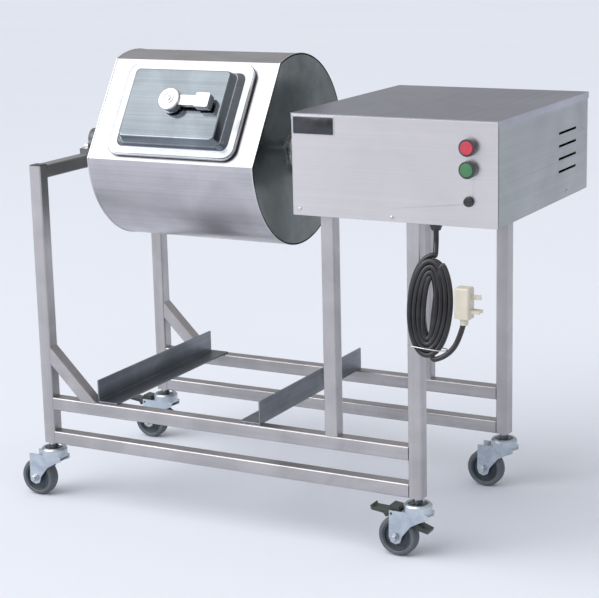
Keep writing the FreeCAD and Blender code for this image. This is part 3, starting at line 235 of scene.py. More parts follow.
def wear_and_highlight_group() -> bpy.types.NodeTree:
    """A mask along convex edges, broken up by noise; it drives edge wear and a painted edge
    highlight.

    Returns:
        The group's tree.
    """
    graph, given, result = new_group(
        "Edge_wear_and_highlight", {"Coordinates": "NodeSocketVector", "Radius": "NodeSocketFloat"},
        {"Edge": "NodeSocketFloat"})
    bevel = graph.node("ShaderNodeBevel", Radius=given.outputs["Radius"])
    bevel.samples = 4
    geometry = graph.node("ShaderNodeNewGeometry")
    dot = graph.tree.nodes.new("ShaderNodeVectorMath")
    dot.operation = "DOT_PRODUCT"
    graph.set(dot.inputs[0], bevel.outputs[0])
    graph.set(dot.inputs[1], geometry.outputs["Normal"])
    rough = graph.node("ShaderNodeTexNoise", Vector=given.outputs["Coordinates"], Scale=160.0,
                       Detail=3.0)
    edge = graph.remap(dot.outputs["Value"], 0.99, 0.8, 0.0, 1.0)
    broken = graph.remap(rough.outputs[0], 0.3, 0.6, 0.35, 1.0)
    graph.set(result.inputs["Edge"], graph.math("MULTIPLY", edge, broken))
    return graph.tree


def dust_group() -> bpy.types.NodeTree:
    """Dust that gathers on faces turned up.

    Returns:
        The group's tree.
    """
    graph, given, result = new_group(
        "Settled_dust", {"Coordinates": "NodeSocketVector", "Amount": "NodeSocketFloat"},
        {"Dust": "NodeSocketFloat"})
    geometry = graph.node("ShaderNodeNewGeometry")
    parts = graph.node("ShaderNodeSeparateXYZ", Vector=geometry.outputs["Normal"])
    up = graph.remap(parts.outputs["Z"], 0.2, 1.0, 0.0, 1.0)
    specks = graph.node("ShaderNodeTexNoise", Vector=given.outputs["Coordinates"], Scale=90.0,
                        Detail=5.0, Roughness=0.7)
    spread = graph.remap(specks.outputs[0], 0.35, 0.7, 0.2, 1.0)
    dust = graph.math("MULTIPLY", graph.math("MULTIPLY", up, spread), given.outputs["Amount"])
    graph.set(result.inputs["Dust"], dust)
    return graph.tree


GRAIN = grain_group()
SMUDGE = smudge_group()
WEAR_AND_HIGHLIGHT = wear_and_highlight_group()
DUST = dust_group()


def start_material(name: str) -> tuple[bpy.types.Material, Graph, bpy.types.Node,
                                       bpy.types.NodeSocket]:
    """Make a material with a Principled shader.

    Args:
        name: The material's name.

    Returns:
        The material, its graph, the shader and the object coordinates.
    """
    made = bpy.data.materials.new(name)
    made.use_nodes = True
    graph = Graph(made.node_tree)
    shader = made.node_tree.nodes["Principled BSDF"]
    place = graph.node("ShaderNodeTexCoord").outputs["Object"]
    return made, graph, shader, place


@dataclass(frozen=True)
class Steel:
    """Bare stainless steel with brushing, handling marks, and edge wear with a painted edge
    highlight.
    """

    name: str
    dark: Colour
    light: Colour
    rough: tuple[float, float] = (0.3, 0.42)
    grain: Grain = Grain.ALONG_X
    depth: float = 0.25
    marks: float = 7.0
    # Share of the pale edge colour: edge wear plus a painted edge highlight.
    edge: float = 0.5

    def build(self) -> bpy.types.Material:
        """Make the material.

        Returns:
            The new material.
        """
        made, graph, shader, place = start_material(self.name)
        grain = graph.group(GRAIN, Coordinates=place, Stretch=self.grain.value,
                            Depth=self.depth)
        marks = graph.group(SMUDGE, Coordinates=place, Size=self.marks)
        edge = graph.group(WEAR_AND_HIGHLIGHT, Coordinates=place, Radius=0.0012)
        tone = graph.math("ADD", graph.math("MULTIPLY", grain.outputs["Streaks"], 0.45),
                          graph.math("MULTIPLY", marks.outputs["Mask"], 0.55))
        body = graph.mix(tone, self.dark, self.light)
        # Convex edges mix towards pale steel: edge wear plus a painted edge highlight.
        worn_and_highlight = graph.math("MULTIPLY", edge.outputs["Edge"], self.edge)
        graph.set(shader.inputs["Base Color"], graph.mix(worn_and_highlight, body, (0.86, 0.86, 0.88, 1.0)))
        graph.set(shader.inputs["Roughness"],
                  graph.remap(tone, 0.0, 1.0, self.rough[1], self.rough[0]))
        graph.set(shader.inputs["Normal"], grain.outputs["Normal"])
        shader.inputs["Metallic"].default_value = 1.0
        return made


@dataclass(frozen=True)
class Coating:
    """Plastic, rubber, enamel or cast metal: fine bump, mottling, dust, and edge wear with a painted
    edge highlight.
    """

    name: str
    dark: Colour
    light: Colour
    # Paler edge colour: wear plus a painted edge highlight.
    worn_and_highlight: Colour = (0.5, 0.5, 0.5, 1.0)
    rough: tuple[float, float] = (0.35, 0.55)
    metallic: float = 0.0
    coat: float = 0.0
    bump: float = 0.15
    bump_size: float = 900.0
    # Share of the paler edge colour: wear plus a painted edge highlight.
    edge: float = 0.25
    dust: float = 0.15

    def build(self) -> bpy.types.Material:
        """Make the material.

        Returns:
            The new material.
        """
        made, graph, shader, place = start_material(self.name)
        marks = graph.group(SMUDGE, Coordinates=place, Size=26.0)
        edge = graph.group(WEAR_AND_HIGHLIGHT, Coordinates=place, Radius=0.0008)
        dust = graph.group(DUST, Coordinates=place, Amount=self.dust)
        skin = graph.node("ShaderNodeTexNoise", Vector=place, Scale=self.bump_size, Detail=3.0)
        body = graph.mix(marks.outputs["Mask"], self.dark, self.light)
        # Convex edges mix towards the paler edge colour: wear plus a painted edge highlight.
        worn_and_highlight = graph.math("MULTIPLY", edge.outputs["Edge"], self.edge)
        body = graph.mix(worn_and_highlight, body, self.worn_and_highlight)
        body = graph.mix(dust.outputs["Dust"], body, (0.45, 0.43, 0.4, 1.0))
        graph.set(shader.inputs["Base Color"], body)
        rough = graph.remap(marks.outputs["Mask"], 0.0, 1.0, self.rough[0], self.rough[1])
        graph.set(shader.inputs["Roughness"], rough)
        bump = graph.node("ShaderNodeBump", Strength=self.bump, Distance=0.0003,
                          Height=skin.outputs[0])
        graph.set(shader.inputs["Normal"], bump.outputs["Normal"])
        shader.inputs["Metallic"].default_value = self.metallic
        shader.inputs["Coat Weight"].default_value = self.coat
        return made


# ------------------------------------------------------------------ mesh makers
def make_piece(name: str, verts: list[Vector], faces: list[tuple[int, ...]],
               finish: bpy.types.Material, body: str, place: Matrix = Matrix.Identity(4)
               ) -> bpy.types.Object:
    """Make a mesh object, smooth it, give it its finish and let it ride on a body.

    Args:
        name: The piece's name.
        verts: Corners in metres, in the piece's own axes.
        faces: Corner numbers.
        finish: Its material.
        body: The CAD body that it rides on.
        place: From the piece's own axes to the row frame.

    Returns:
        The new object.
    """
    mesh = bpy.data.meshes.new(name)
    mesh.from_pydata([place @ v for v in verts], [], faces)
    clean = bmesh.new()
    clean.from_mesh(mesh)
    bmesh.ops.remove_doubles(clean, verts=clean.verts, dist=1e-6)
    bmesh.ops.recalc_face_normals(clean, faces=clean.faces)
    clean.to_mesh(mesh)
    clean.free()
    mesh.materials.append(finish)
    piece = bpy.data.objects.new(name, mesh)
    bpy.context.scene.collection.objects.link(piece)
    smooth(piece)
    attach(piece, body)
    LOG.info("%s rides on %s", name, body)
    return piece


def smooth(piece: bpy.types.Object, angle: float = 35.0) -> None:
    """Shade a mesh smooth, apart from edges sharper than an angle in degrees.

    Args:
        piece: A mesh object.
        angle: The sharpest angle that is still smoothed.
    """
    mesh = piece.data
    mesh.shade_smooth()
    mesh.set_sharp_from_angle(angle=math.radians(angle))


def loft(rings: list[Ring], close_ends: bool = True) -> tuple[list[Vector], list[tuple]]:
    """Join rings of equal count with faces, and close the first and last.

    Args:
        rings: Corners of each ring, in order.
        close_ends: Whether the end rings get a face.

    Returns:
        Corners, and faces as corner numbers.
    """
    count = len(rings[0])
    verts = [v for ring in rings for v in ring]
    faces = []
    for level in range(len(rings) - 1):
        low = level * count
        for i in range(count):
            j = (i + 1) % count
            faces.append((low + i, low + j, low + count + j, low + count + i))
    if close_ends:
        faces.append(tuple(reversed(range(count))))
        faces.append(tuple(range(len(verts) - count, len(verts))))
    return verts, faces


def circle(radius: float, height: float, count: int = 48) -> Ring:
    """A ring of corners about Z.

    Args:
        radius: In metres.
        height: Along Z, in metres.
        count: How many corners.

    Returns:
        The corners.
    """
    step = 2 * math.pi / count
    return [Vector((radius * math.cos(i * step), radius * math.sin(i * step), height))
            for i in range(count)]


def rounded(half_x: float, half_y: float, corner: float, height: float, steps: int = 8) -> Ring:
    """A rounded rectangle about Z, with the same number of corners at any size.

    Args:
        half_x: Half its length, in metres.
        half_y: Half its width, in metres.
        corner: Corner radius, in metres.
        height: Along Z, in metres.
        steps: Sides to each rounded corner.

    Returns:
        The corners.
    """
    ring = []
    centres = ((1, 1), (-1, 1), (-1, -1), (1, -1))
    for quarter, (sign_x, sign_y) in enumerate(centres):
        for i in range(steps + 1):
            angle = (quarter + i / steps) * math.pi / 2
            ring.append(Vector((sign_x * (half_x - corner) + corner * math.cos(angle),
                                sign_y * (half_y - corner) + corner * math.sin(angle), height)))
    return ring


def lathe(name: str, profile: Sequence[tuple[float, float]], finish: bpy.types.Material,
          body: str, place: Matrix, count: int = 48) -> bpy.types.Object:
    """Turn (radius, height) points, in millimetres, about the Z axis of a place.

    Args:
        name: The piece's name.
        profile: The points, from foot to top.
        finish: Its material.
        body: The CAD body that it rides on.
        place: Where its axis stands.
        count: Sides round the axis.

    Returns:
        The new piece.
    """
    rings = [circle(max(radius, 0.01) * MM, height * MM, count) for radius, height in profile]
    verts, faces = loft(rings)
    return make_piece(name, verts, faces, finish, body, place)


def facing(point: Vector, normal: Vector, across: Vector = Vector((1, 0, 0))) -> Matrix:
    """A place whose Z is the normal and whose X is as near as can be to across.

    Args:
        point: Its origin.
        normal: Its Z.
        across: The wanted X.

    Returns:
        From its axes to the row frame.
    """
    up = normal.normalized()
    side = (across - up * across.dot(up))
    if side.length < 1e-6:
        side = Vector((0, 0, 1)) - up * up.z
    side.normalize()
    third = up.cross(side)
    turn = Matrix((side, third, up)).transposed().to_4x4()
    return Matrix.Translation(point) @ turn


def join(name: str, parts: list[bpy.types.Object]) -> bpy.types.Object:
    """Join pieces of one body into the first of them.

    Args:
        name: The name of what is left.
        parts: The pieces.

    Returns:
        The joined piece.
    """
    with bpy.context.temp_override(active_object=parts[0], selected_editable_objects=parts):
        bpy.ops.object.join()
    parts[0].name = name
    return parts[0]


def tube_curve(name: str, points: list[Vector], radius: float, finish: bpy.types.Material,
               body: str) -> bpy.types.Object:
    """A round bar along a smooth curve whose control points are given.

    Args:
        name: The piece's name.
        points: Control points, in metres.
        radius: Of the bar, in metres.
        finish: Its material.
        body: The CAD body that it rides on.

    Returns:
        The new piece.
    """
    curve = bpy.data.curves.new(name, "CURVE")
    curve.dimensions = "3D"
    spline = curve.splines.new("NURBS")
    spline.points.add(len(points) - 1)
    for point, place in zip(spline.points, points):
        point.co = (*place, 1.0)
    spline.order_u = 3
    spline.use_endpoint_u = True
    spline.resolution_u = 6
    curve.bevel_depth = radius
    curve.bevel_resolution = 5
    curve.use_fill_caps = True
    curve.materials.append(finish)
    piece = bpy.data.objects.new(name, curve)
    bpy.context.scene.collection.objects.link(piece)
    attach(piece, body)
    LOG.info("%s rides on %s", name, body)
    return piece


HEAD_HEIGHT = 0.62
HALF_CORNERS = 0.577
WASHER_THICK = 1.2


def bolt(name: str, point: Vector, normal: Vector, across: float, finish: bpy.types.Material,
         body: str, washer: bool = True) -> bpy.types.Object:
    """A hexagon bolt head with a chamfered top on a washer; across is in millimetres.

    Args:
        name: The piece's name.
        point: The middle of its seat.
        normal: Which way the head points.
        across: Width across the flats.
        finish: Its material.
        body: The CAD body that it rides on.
        washer: Whether it has a washer.

    Returns:
        The new piece.
    """
    height = HEAD_HEIGHT * across
    start = WASHER_THICK if washer else 0.0
    rings = []
    for radius, level in ((HALF_CORNERS, start), (HALF_CORNERS, start + height * 0.82),
                          (0.5, start + height), (0.3, start + height)):
        rings.append(circle(radius * across * MM, level * MM, 6))
    verts, faces = loft(rings)
    place = facing(point, normal)
    head = make_piece(name, verts, faces, finish, body, place)
    if not washer:
        return head
    ring = lathe(name + "_washer", [(across * 0.3, 0.0), (across * 0.95, 0.0),
                                    (across * 0.95, 0.9), (across * 0.88, WASHER_THICK),
                                    (across * 0.3, WASHER_THICK)], finish, body, place, 32)
    return join(name, [head, ring])


def round_edges(node: str, radius: float, segments: int = 2) -> None:
    """Round the sharp edges of a CAD node with modifiers; radius is in millimetres.

    Args:
        node: The node's name.
        radius: Of the edge.
        segments: Faces across the edge.
    """
    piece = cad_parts[node]
    weld = piece.modifiers.new("weld", "WELD")
    weld.merge_threshold = 1e-5
    bevel = piece.modifiers.new("edges", "BEVEL")
    bevel.width = radius * MM
    bevel.segments = segments
    bevel.limit_method = "ANGLE"
    bevel.angle_limit = math.radians(40)
    bevel.use_clamp_overlap = True
    bevel.harden_normals = True


def finish_node(node: str, finish: bpy.types.Material, radius: float = 0.0) -> None:
    """Give a CAD node its finish, its material slot and, where wanted, rounded edges.

    Args:
        node: The node's name.
        finish: Its material.
        radius: Of its edges in millimetres, or 0 to leave them.
    """
    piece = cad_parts[node]
    if not piece.material_slots:
        piece.data.materials.append(finish)
    for entry in piece.material_slots:
        entry.material = finish
    LOG.info("%s dressed", node)
    if radius:
        round_edges(node, radius)


# ------------------------------------------------------------------ finishes
class Finish:
    """The machine's finishes, each built once."""

    def __init__(self) -> None:
        """Build every material."""
        grey = (0.5, 0.5, 0.52, 1.0)
        tube = Steel("tube_steel_along", (0.40, 0.385, 0.395, 1), (0.56, 0.54, 0.55, 1),
                     (0.34, 0.46), Grain.ALONG_X, 0.12, 9.0, 0.35)
        self.tube_x = tube.build()
        self.tube_y = replace(tube, name="tube_steel_across", grain=Grain.ALONG_Y).build()
        self.tube_z = replace(tube, name="tube_steel_upright", grain=Grain.ALONG_Z).build()
        self.angle = Steel("angle_steel", (0.17, 0.185, 0.21, 1), (0.30, 0.315, 0.34, 1),
                           (0.34, 0.46), Grain.ALONG_Y, 0.12, 10.0, 0.4).build()
        self.sheet_x = Steel("panel_steel", (0.62, 0.60, 0.61, 1), (0.74, 0.71, 0.72, 1),
                             (0.3, 0.38), Grain.ALONG_X, 0.1, 4.5, 0.3).build()
        # The top cover is the same stainless sheet as the front panel; this darker, bluer copy is
        # painted shade with a bluish painted reflection.
        self.cover_painted_shade = Steel("cover_steel_painted_shade", (0.38, 0.385, 0.44, 1), (0.50, 0.51, 0.58, 1),
                           (0.3, 0.4), Grain.ALONG_Y, 0.1, 4.0, 0.3).build()
        # The wrap is the same stainless sheet as the front panel; this darker greenish copy is
        # painted shade.
        self.sheet_y_painted_shade = Steel("wrap_steel_painted_shade", (0.30, 0.32, 0.325, 1), (0.42, 0.44, 0.445, 1),
                             (0.26, 0.34), Grain.ALONG_Y, 0.1, 5.0, 0.3).build()
        self.drum = Steel("drum_steel", (0.42, 0.41, 0.43, 1), (0.62, 0.60, 0.63, 1),
                          (0.26, 0.36), Grain.ALONG_X, 0.3, 8.0, 0.3).build()
        # The drum ends are the same steel as the shell; this near-black greenish copy is painted
        # shade from the dark housing wall.
        self.end = Steel("drum_end_steel_painted_shade", (0.09, 0.10, 0.095, 1), (0.20, 0.22, 0.21, 1),
                         (0.16, 0.26), Grain.EVEN, 0.05, 6.0, 0.3).build()
        self.lid = Steel("lid_steel", (0.44, 0.46, 0.48, 1), (0.58, 0.60, 0.62, 1),
                         (0.16, 0.24), Grain.ALONG_X, 0.06, 9.0, 0.3).build()
        # The raised field is pressed from the same sheet as the flange; this dark copy of the lid
        # steel is painted shade.
        self.field = Steel("lid_field_steel_painted_shade", (0.14, 0.16, 0.18, 1), (0.26, 0.29, 0.32, 1),
                           (0.14, 0.22), Grain.ALONG_X, 0.06, 7.0, 0.5).build()
        self.lever = Steel("lever_steel", (0.52, 0.52, 0.54, 1), (0.72, 0.72, 0.74, 1),
                           (0.18, 0.3), Grain.ALONG_X, 0.1, 30.0, 0.4).build()
        self.turned = Steel("turned_steel", (0.46, 0.46, 0.48, 1), (0.66, 0.66, 0.68, 1),
                            (0.22, 0.32), Grain.ALONG_X, 0.1, 30.0, 0.4).build()
        self.fastener = Steel("fastener_steel", (0.5, 0.5, 0.52, 1), (0.7, 0.7, 0.72, 1),
                              (0.24, 0.36), Grain.EVEN, 0.1, 60.0, 0.5).build()
        self.bearing = Coating("bearing_cast", (0.10, 0.11, 0.12, 1), (0.18, 0.19, 0.2, 1), grey,
                               (0.35, 0.5), 0.6, 0.0, 0.5, 500.0).build()
        self.gasket = Coating("gasket_silicone", (0.72, 0.72, 0.7, 1), (0.8, 0.8, 0.78, 1),
                              WHITE, (0.4, 0.55), 0.0, 0.0, 0.1, 900.0, 0.0, 0.05).build()
        self.ring = Coating("button_ring", (0.03, 0.03, 0.035, 1), (0.05, 0.05, 0.055, 1), grey,
                            (0.25, 0.35), 0.0, 0.3, 0.1, 1200.0, 0.15, 0.05).build()
        self.red = Coating("red_cap", (0.50, 0.035, 0.06, 1), (0.58, 0.05, 0.08, 1),
                           (0.8, 0.4, 0.4, 1), (0.3, 0.42), 0.0, 0.15, 0.08, 1400.0, 0.1,
                           0.03).build()
        self.green = Coating("green_cap", (0.04, 0.17, 0.065, 1), (0.06, 0.22, 0.09, 1),
                             (0.3, 0.5, 0.35, 1), (0.3, 0.42), 0.0, 0.15, 0.08, 1400.0, 0.1,
                             0.03).build()
        self.black = Coating("black_plastic", (0.012, 0.012, 0.014, 1), (0.022, 0.022, 0.025, 1),
                             grey, (0.25, 0.4), 0.0, 0.3, 0.15, 1000.0, 0.12, 0.04).build()
        self.motor = Coating("motor_enamel", (0.12, 0.15, 0.18, 1), (0.17, 0.2, 0.24, 1),
                             grey).build()
        self.zinc = Coating("zinc_plate", (0.46, 0.52, 0.58, 1), (0.62, 0.68, 0.74, 1),
                            (0.85, 0.87, 0.9, 1), (0.24, 0.4), 1.0, 0.0, 0.12, 500.0, 0.5,
                            0.1).build()
        self.pedal = Coating("pedal_enamel", (0.02, 0.026, 0.026, 1), (0.045, 0.055, 0.05, 1),
                             (0.3, 0.32, 0.3, 1), (0.3, 0.5), 0.2, 0.2, 0.25, 700.0, 0.4,
                             0.1).build()
        self.hub = Coating("hub_plastic", (0.022, 0.034, 0.045, 1), (0.04, 0.055, 0.07, 1),
                           (0.2, 0.22, 0.24, 1), (0.35, 0.5), 0.0, 0.1, 0.15, 800.0, 0.2,
                           0.15).build()
        self.tyre = Coating("tyre_rubber", (0.085, 0.095, 0.11, 1), (0.13, 0.145, 0.165, 1),
                            (0.2, 0.2, 0.2, 1), (0.5, 0.68), 0.0, 0.0, 0.3, 600.0, 0.3,
                            0.35).build()
        self.cord = Coating("cord_rubber", (0.01, 0.01, 0.013, 1), (0.02, 0.02, 0.024, 1),
                            (0.1, 0.1, 0.1, 1), (0.28, 0.42), 0.0, 0.2, 0.2, 900.0, 0.0,
                            0.08).build()
        self.plug = Coating("plug_cream", (0.60, 0.55, 0.45, 1), (0.68, 0.63, 0.53, 1),
                            (0.8, 0.76, 0.66, 1), (0.3, 0.42), 0.0, 0.15, 0.08, 1100.0, 0.15,
                            0.03).build()
        self.plate = Coating("bare_plate", (0.012, 0.014, 0.018, 1), (0.03, 0.033, 0.04, 1),
                             grey, (0.25, 0.4), 0.0, 0.3, 0.05, 1200.0, 0.0, 0.06).build()
        self.wire = Steel("tie_wire", (0.62, 0.63, 0.64, 1), (0.78, 0.79, 0.8, 1), (0.2, 0.3),
                          Grain.EVEN, 0.05, 60.0, 0.2).build()


# ------------------------------------------------------------------ studio
@dataclass(frozen=True)
class Studio:
    """Pale floor, soft lamps and the camera."""

    floor_size: float = 90.0
    eye: tuple[float, float, float] = (1.59785, -2.9200, 1.1824)
    yaw: float = -0.4951
    pitch: float = -0.2303
    roll: float = -0.0233
    lens: float = 105.05
    sensor: float = 36.0
    room_strength: float = 0.6
    sun_place: tuple[float, float, float] = (-2.2, -2.6, 4.0)
    sun_strength: float = 1.75
    sun_spread: float = 70.0
    aim: tuple[float, float, float] = (0.0, 0.0, 0.5)
    lamps: tuple = (("key", (-3.4, -3.6, 2.6), 2.6, 60.0), ("fill", (3.8, -2.0, 2.4), 2.0, 14.0))

    def build(self) -> None:
        """Make the floor, the light and the camera."""
        self.build_floor()
        self.build_world()
        self.build_lamps()
        self.build_camera()

    def build_floor(self) -> None:
        """A large plain floor that also fills the background."""
        mesh = bpy.data.meshes.new("studio_floor")
        half = self.floor_size / 2
        corners = [(-half, -half, 0), (half, -half, 0), (half, half, 0), (-half, half, 0)]
        mesh.from_pydata(corners, [], [(0, 1, 2, 3)])
        floor = bpy.data.objects.new("studio_floor", mesh)
        bpy.context.scene.collection.objects.link(floor)
        made, graph, shader, place = start_material("floor_paint")
        cloud = graph.group(SMUDGE, Coordinates=place, Size=0.6)
        colour = graph.mix(cloud.outputs["Mask"], (0.800, 0.832, 0.915, 1), (0.815, 0.845, 0.925, 1))
        graph.set(shader.inputs["Base Color"], colour)
        shader.inputs["Roughness"].default_value = 0.9
        shader.inputs["Specular IOR Level"].default_value = 0.0
        mesh.materials.append(made)

    def build_world(self) -> None:
        """A soft room: paler overhead, greyer towards the walls."""
        world = bpy.data.worlds.new("studio")
        world.use_nodes = True
        bpy.context.scene.world = world
        graph = Graph(world.node_tree)
        place = graph.node("ShaderNodeTexCoord").outputs["Generated"]
        parts = graph.node("ShaderNodeSeparateXYZ", Vector=place)
        height = graph.remap(parts.outputs["Z"], -0.1, 0.9, 0.0, 1.0)
        colour = graph.mix(height, (0.50, 0.51, 0.54, 1), (1.0, 1.0, 1.0, 1))
        background = world.node_tree.nodes["Background"]
        graph.set(background.inputs["Color"], colour)
        background.inputs["Strength"].default_value = self.room_strength

    def build_lamps(self) -> None:
        """A broad sun for an even floor, a key from the front left, a fill from the right."""
        sun = bpy.data.lights.new("studio_sun", "SUN")
        sun.energy = self.sun_strength
        sun.angle = math.radians(self.sun_spread)
        lamps = [("sun", self.sun_place, sun)]
        for name, place, side, power in self.lamps:
            data = bpy.data.lights.new("studio_" + name, "AREA")
            data.size = side
            data.energy = power
            lamps.append((name, place, data))
        for name, place, data in lamps:
            lamp = bpy.data.objects.new("studio_" + name, data)
            ahead = Vector(self.aim) - Vector(place)
            turn = ahead.to_track_quat("-Z", "Y").to_matrix().to_4x4()
            lamp.matrix_world = Matrix.Translation(place) @ turn
            bpy.context.scene.collection.objects.link(lamp)

    def build_camera(self) -> None:
        """The camera of the main view."""
        data = bpy.data.cameras.new("main")
        data.sensor_fit = "HORIZONTAL"
        data.sensor_width = self.sensor
        data.lens = self.lens
        data.clip_end = 200.0
        ahead = Vector((math.sin(self.yaw) * math.cos(self.pitch),
                        math.cos(self.yaw) * math.cos(self.pitch), math.sin(self.pitch)))
        side = Vector((math.cos(self.yaw), -math.sin(self.yaw), 0.0))
        up = side.cross(ahead)
        right = side * math.cos(self.roll) + up * math.sin(self.roll)
        top = up * math.cos(self.roll) - side * math.sin(self.roll)
        camera = bpy.data.objects.new("main", data)
        turn = Matrix((right, top, -ahead)).transposed().to_4x4()
        camera.matrix_world = Matrix.Translation(self.eye) @ turn
        bpy.context.scene.collection.objects.link(camera)
        bpy.context.scene.camera = camera
        bpy.context.scene.view_settings.view_transform = "Standard"


# ------------------------------------------------------------------ places
def at(x: float, y: float, height: float) -> Vector:
    """A point given from the frame's left and front faces and the rails' underside, in mm."""
    return Vector(((x - 448.25) * MM, (y - 219.0) * MM, (height + 115.0) * MM))


FRONT = Vector((0.0, -1.0, 0.0))
RIGHT = Vector((1.0, 0.0, 0.0))
UP = Vector((0.0, 0.0, 1.0))


@dataclass(frozen=True)
class MainsCord:
    """The free mains cord: lead, a hanging coil of turns, tail and plug."""

    radius: float = 4.75
    lead: tuple = ((852, 11, 491), (852, 11, 477.5), (853, 8, 464), (855, 0.5, 447))
    tail: tuple = ((858, -39, 272), (880, -38, 277), (899.5, -35.5, 291), (912, -31, 312.5),
                   (918, -26.5, 338))
    coil_middle: tuple = (854, -22.3, 363)
    coil_lean: float = -8.5
    turns: int = 4
    wide: float = 43.2
    tall: float = 90.0
    shrink: float = 9.7
    narrowing: float = 0.92
    least_wide: float = 7.0
    points_per_turn: int = 16
    first_angle: float = 90.0

    def turn_points(self) -> list[Vector]:
        """Points of the turns: inwards in the back layer, then outwards in the front one.

        Returns:
            The points, in metres.
        """
        lean = Matrix.Rotation(math.radians(self.coil_lean), 4, "X")
        middle = at(*self.coil_middle)
        points = []
        count = self.points_per_turn
        total = self.turns * count
        for layer in (0, 1):
            for i in range(total):
                share = i / total
                angle = math.radians(self.first_angle) + 2 * math.pi * (i / count)
                depth = self.shrink * self.turns * (share if layer == 0 else 1 - share)
                wide = max(self.wide - depth * self.narrowing, self.least_wide)
                tall = self.tall - depth
                side = self.radius if layer == 0 else -self.radius
                local = Vector((wide * math.cos(angle), side, tall * math.sin(angle))) * MM
                points.append(middle + lean @ local)
        return points

    def build(self, finish: Finish) -> None:
        """Lay the cord along its route.

        Args:
            finish: The finishes.
        """
        points = [at(*p) for p in self.lead] + self.turn_points() + [at(*p) for p in self.tail]
        cord = tube_curve("mains_cord", points, self.radius * MM, finish.cord, "machine")
        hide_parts("cord_lead", "cord_coil", "cord_tail")


@dataclass(frozen=True)
class SideFrames:
    """Square-tube frames, tray angles and the caps of the left posts; sizes in mm."""

    cap_half: float = 12.6
    cap_corner: float = 2.8
    cap_height: float = 1.6
    post_top: float = 559.0
    post_x: float = 13.0
    post_rows: tuple[float, float] = (13.0, 431.0)

    def build(self, finish: Finish) -> None:
        """Dress the tubes and close the left posts.

        Args:
            finish: The finishes.
        """
        for side in ("front", "back"):
            for node in ("lower_rail", "upper_rail", "corner_brace"):
                finish_node(side + "_" + node, finish.tube_x)
            for node in ("left_post", "right_post", "mid_post"):
                finish_node(side + "_" + node, finish.tube_z)
        finish_node("bearing_crossbar", finish.tube_y)
        finish_node("tray_angles", finish.angle, 0.8)
        half = self.cap_half * MM
        corner = self.cap_corner * MM
        height = self.cap_height * MM
        for side, y in zip(("front", "back"), self.post_rows):
            rings = [rounded(half, half, corner, 0.0), rounded(half, half, corner, height * 0.6),
                     rounded(half - height / 2, half - height / 2, corner, height)]
            verts, faces = loft(rings)
            cap = make_piece(side + "_post_cap", verts, faces, finish.black, "machine",
                             Matrix.Translation(at(self.post_x, y, self.post_top)))


@dataclass(frozen=True)
class DriveHousing:
    """Sheet housing with its buttons, fuse cap, screws and bare plate; sizes in mm."""

    plate_middle: tuple[float, float, float] = (625.5, -5.0, 664.0)
    plate_half: tuple[float, float] = (41.5, 17.0)
    plate_rim: tuple = ((0.0, 3.0, 0.0), (0.0, 3.0, 0.7), (0.3, 2.8, 1.0), (2.0, 2.4, 1.0),
                        (2.0, 2.4, 0.5))
    plate_field: tuple = ((2.05, 2.3, 0.45), (2.05, 2.3, 0.7), (2.25, 2.1, 0.8))
    screw: tuple = ((3.3, 0.0), (3.3, 0.5), (2.9, 1.2), (1.8, 1.7), (0.9, 1.8), (0.8, 1.1))
    screws: tuple = (((776.0, -5.0, 510.6), FRONT), ((972.0, 337.0, 514.0), RIGHT),
                     ((596.0, -5.0, 514.0), FRONT))
    edge: float = 0.7

    def build(self, finish: Finish) -> None:
        """Dress the sheets and controls and add the small fittings.

        Args:
            finish: The finishes.
        """
        finish_node("front_panel", finish.sheet_x, self.edge)
        # The wrap takes a darker copy of the panel steel: painted shade.
        finish_node("housing_wrap", finish.sheet_y_painted_shade, self.edge)
        # The top cover takes a darker, bluer copy of the panel steel: painted shade and a painted
        # reflection.
        finish_node("top_cover", finish.cover_painted_shade, self.edge)
        finish_node("housing_floor", finish.sheet_x)
        finish_node("stop_button_body", finish.ring, 0.4)
        finish_node("start_button_body", finish.ring, 0.4)
        finish_node("stop_button_cap", finish.red, 0.5)
        finish_node("start_button_cap", finish.green, 0.5)
        finish_node("fuse_holder", finish.black, 0.3)
        finish_node("gear_motor", finish.motor, 2.0)
        finish_node("vacuum_pump", finish.motor, 2.0)
        finish_node("cord_gland", finish.black, 0.4)
        self.build_plate(finish)
        for number, (point, normal) in enumerate(self.screws):
            head = lathe("panel_screw_%d" % number, self.screw, finish.fastener, "machine",
                         facing(at(*point), normal), 24)

    def build_plate(self, finish: Finish) -> None:
        """A thin plate with a bright rim round a bare dark field.

        Args:
            finish: The finishes.
        """
        place = facing(at(*self.plate_middle), FRONT, RIGHT)
        wide, high = self.plate_half
        rows = (("plate_rim", self.plate_rim, finish.fastener, "turned_steel"),
                ("plate_field", self.plate_field, finish.plate, "black_plastic"))
        for name, profile, dress, slot in rows:
            rings = [rounded((wide - inset) * MM, (high - inset) * MM, corner * MM, level * MM)
                     for inset, corner, level in profile]
            verts, faces = loft(rings)
            make_piece(name, verts, faces, dress, "machine", place)


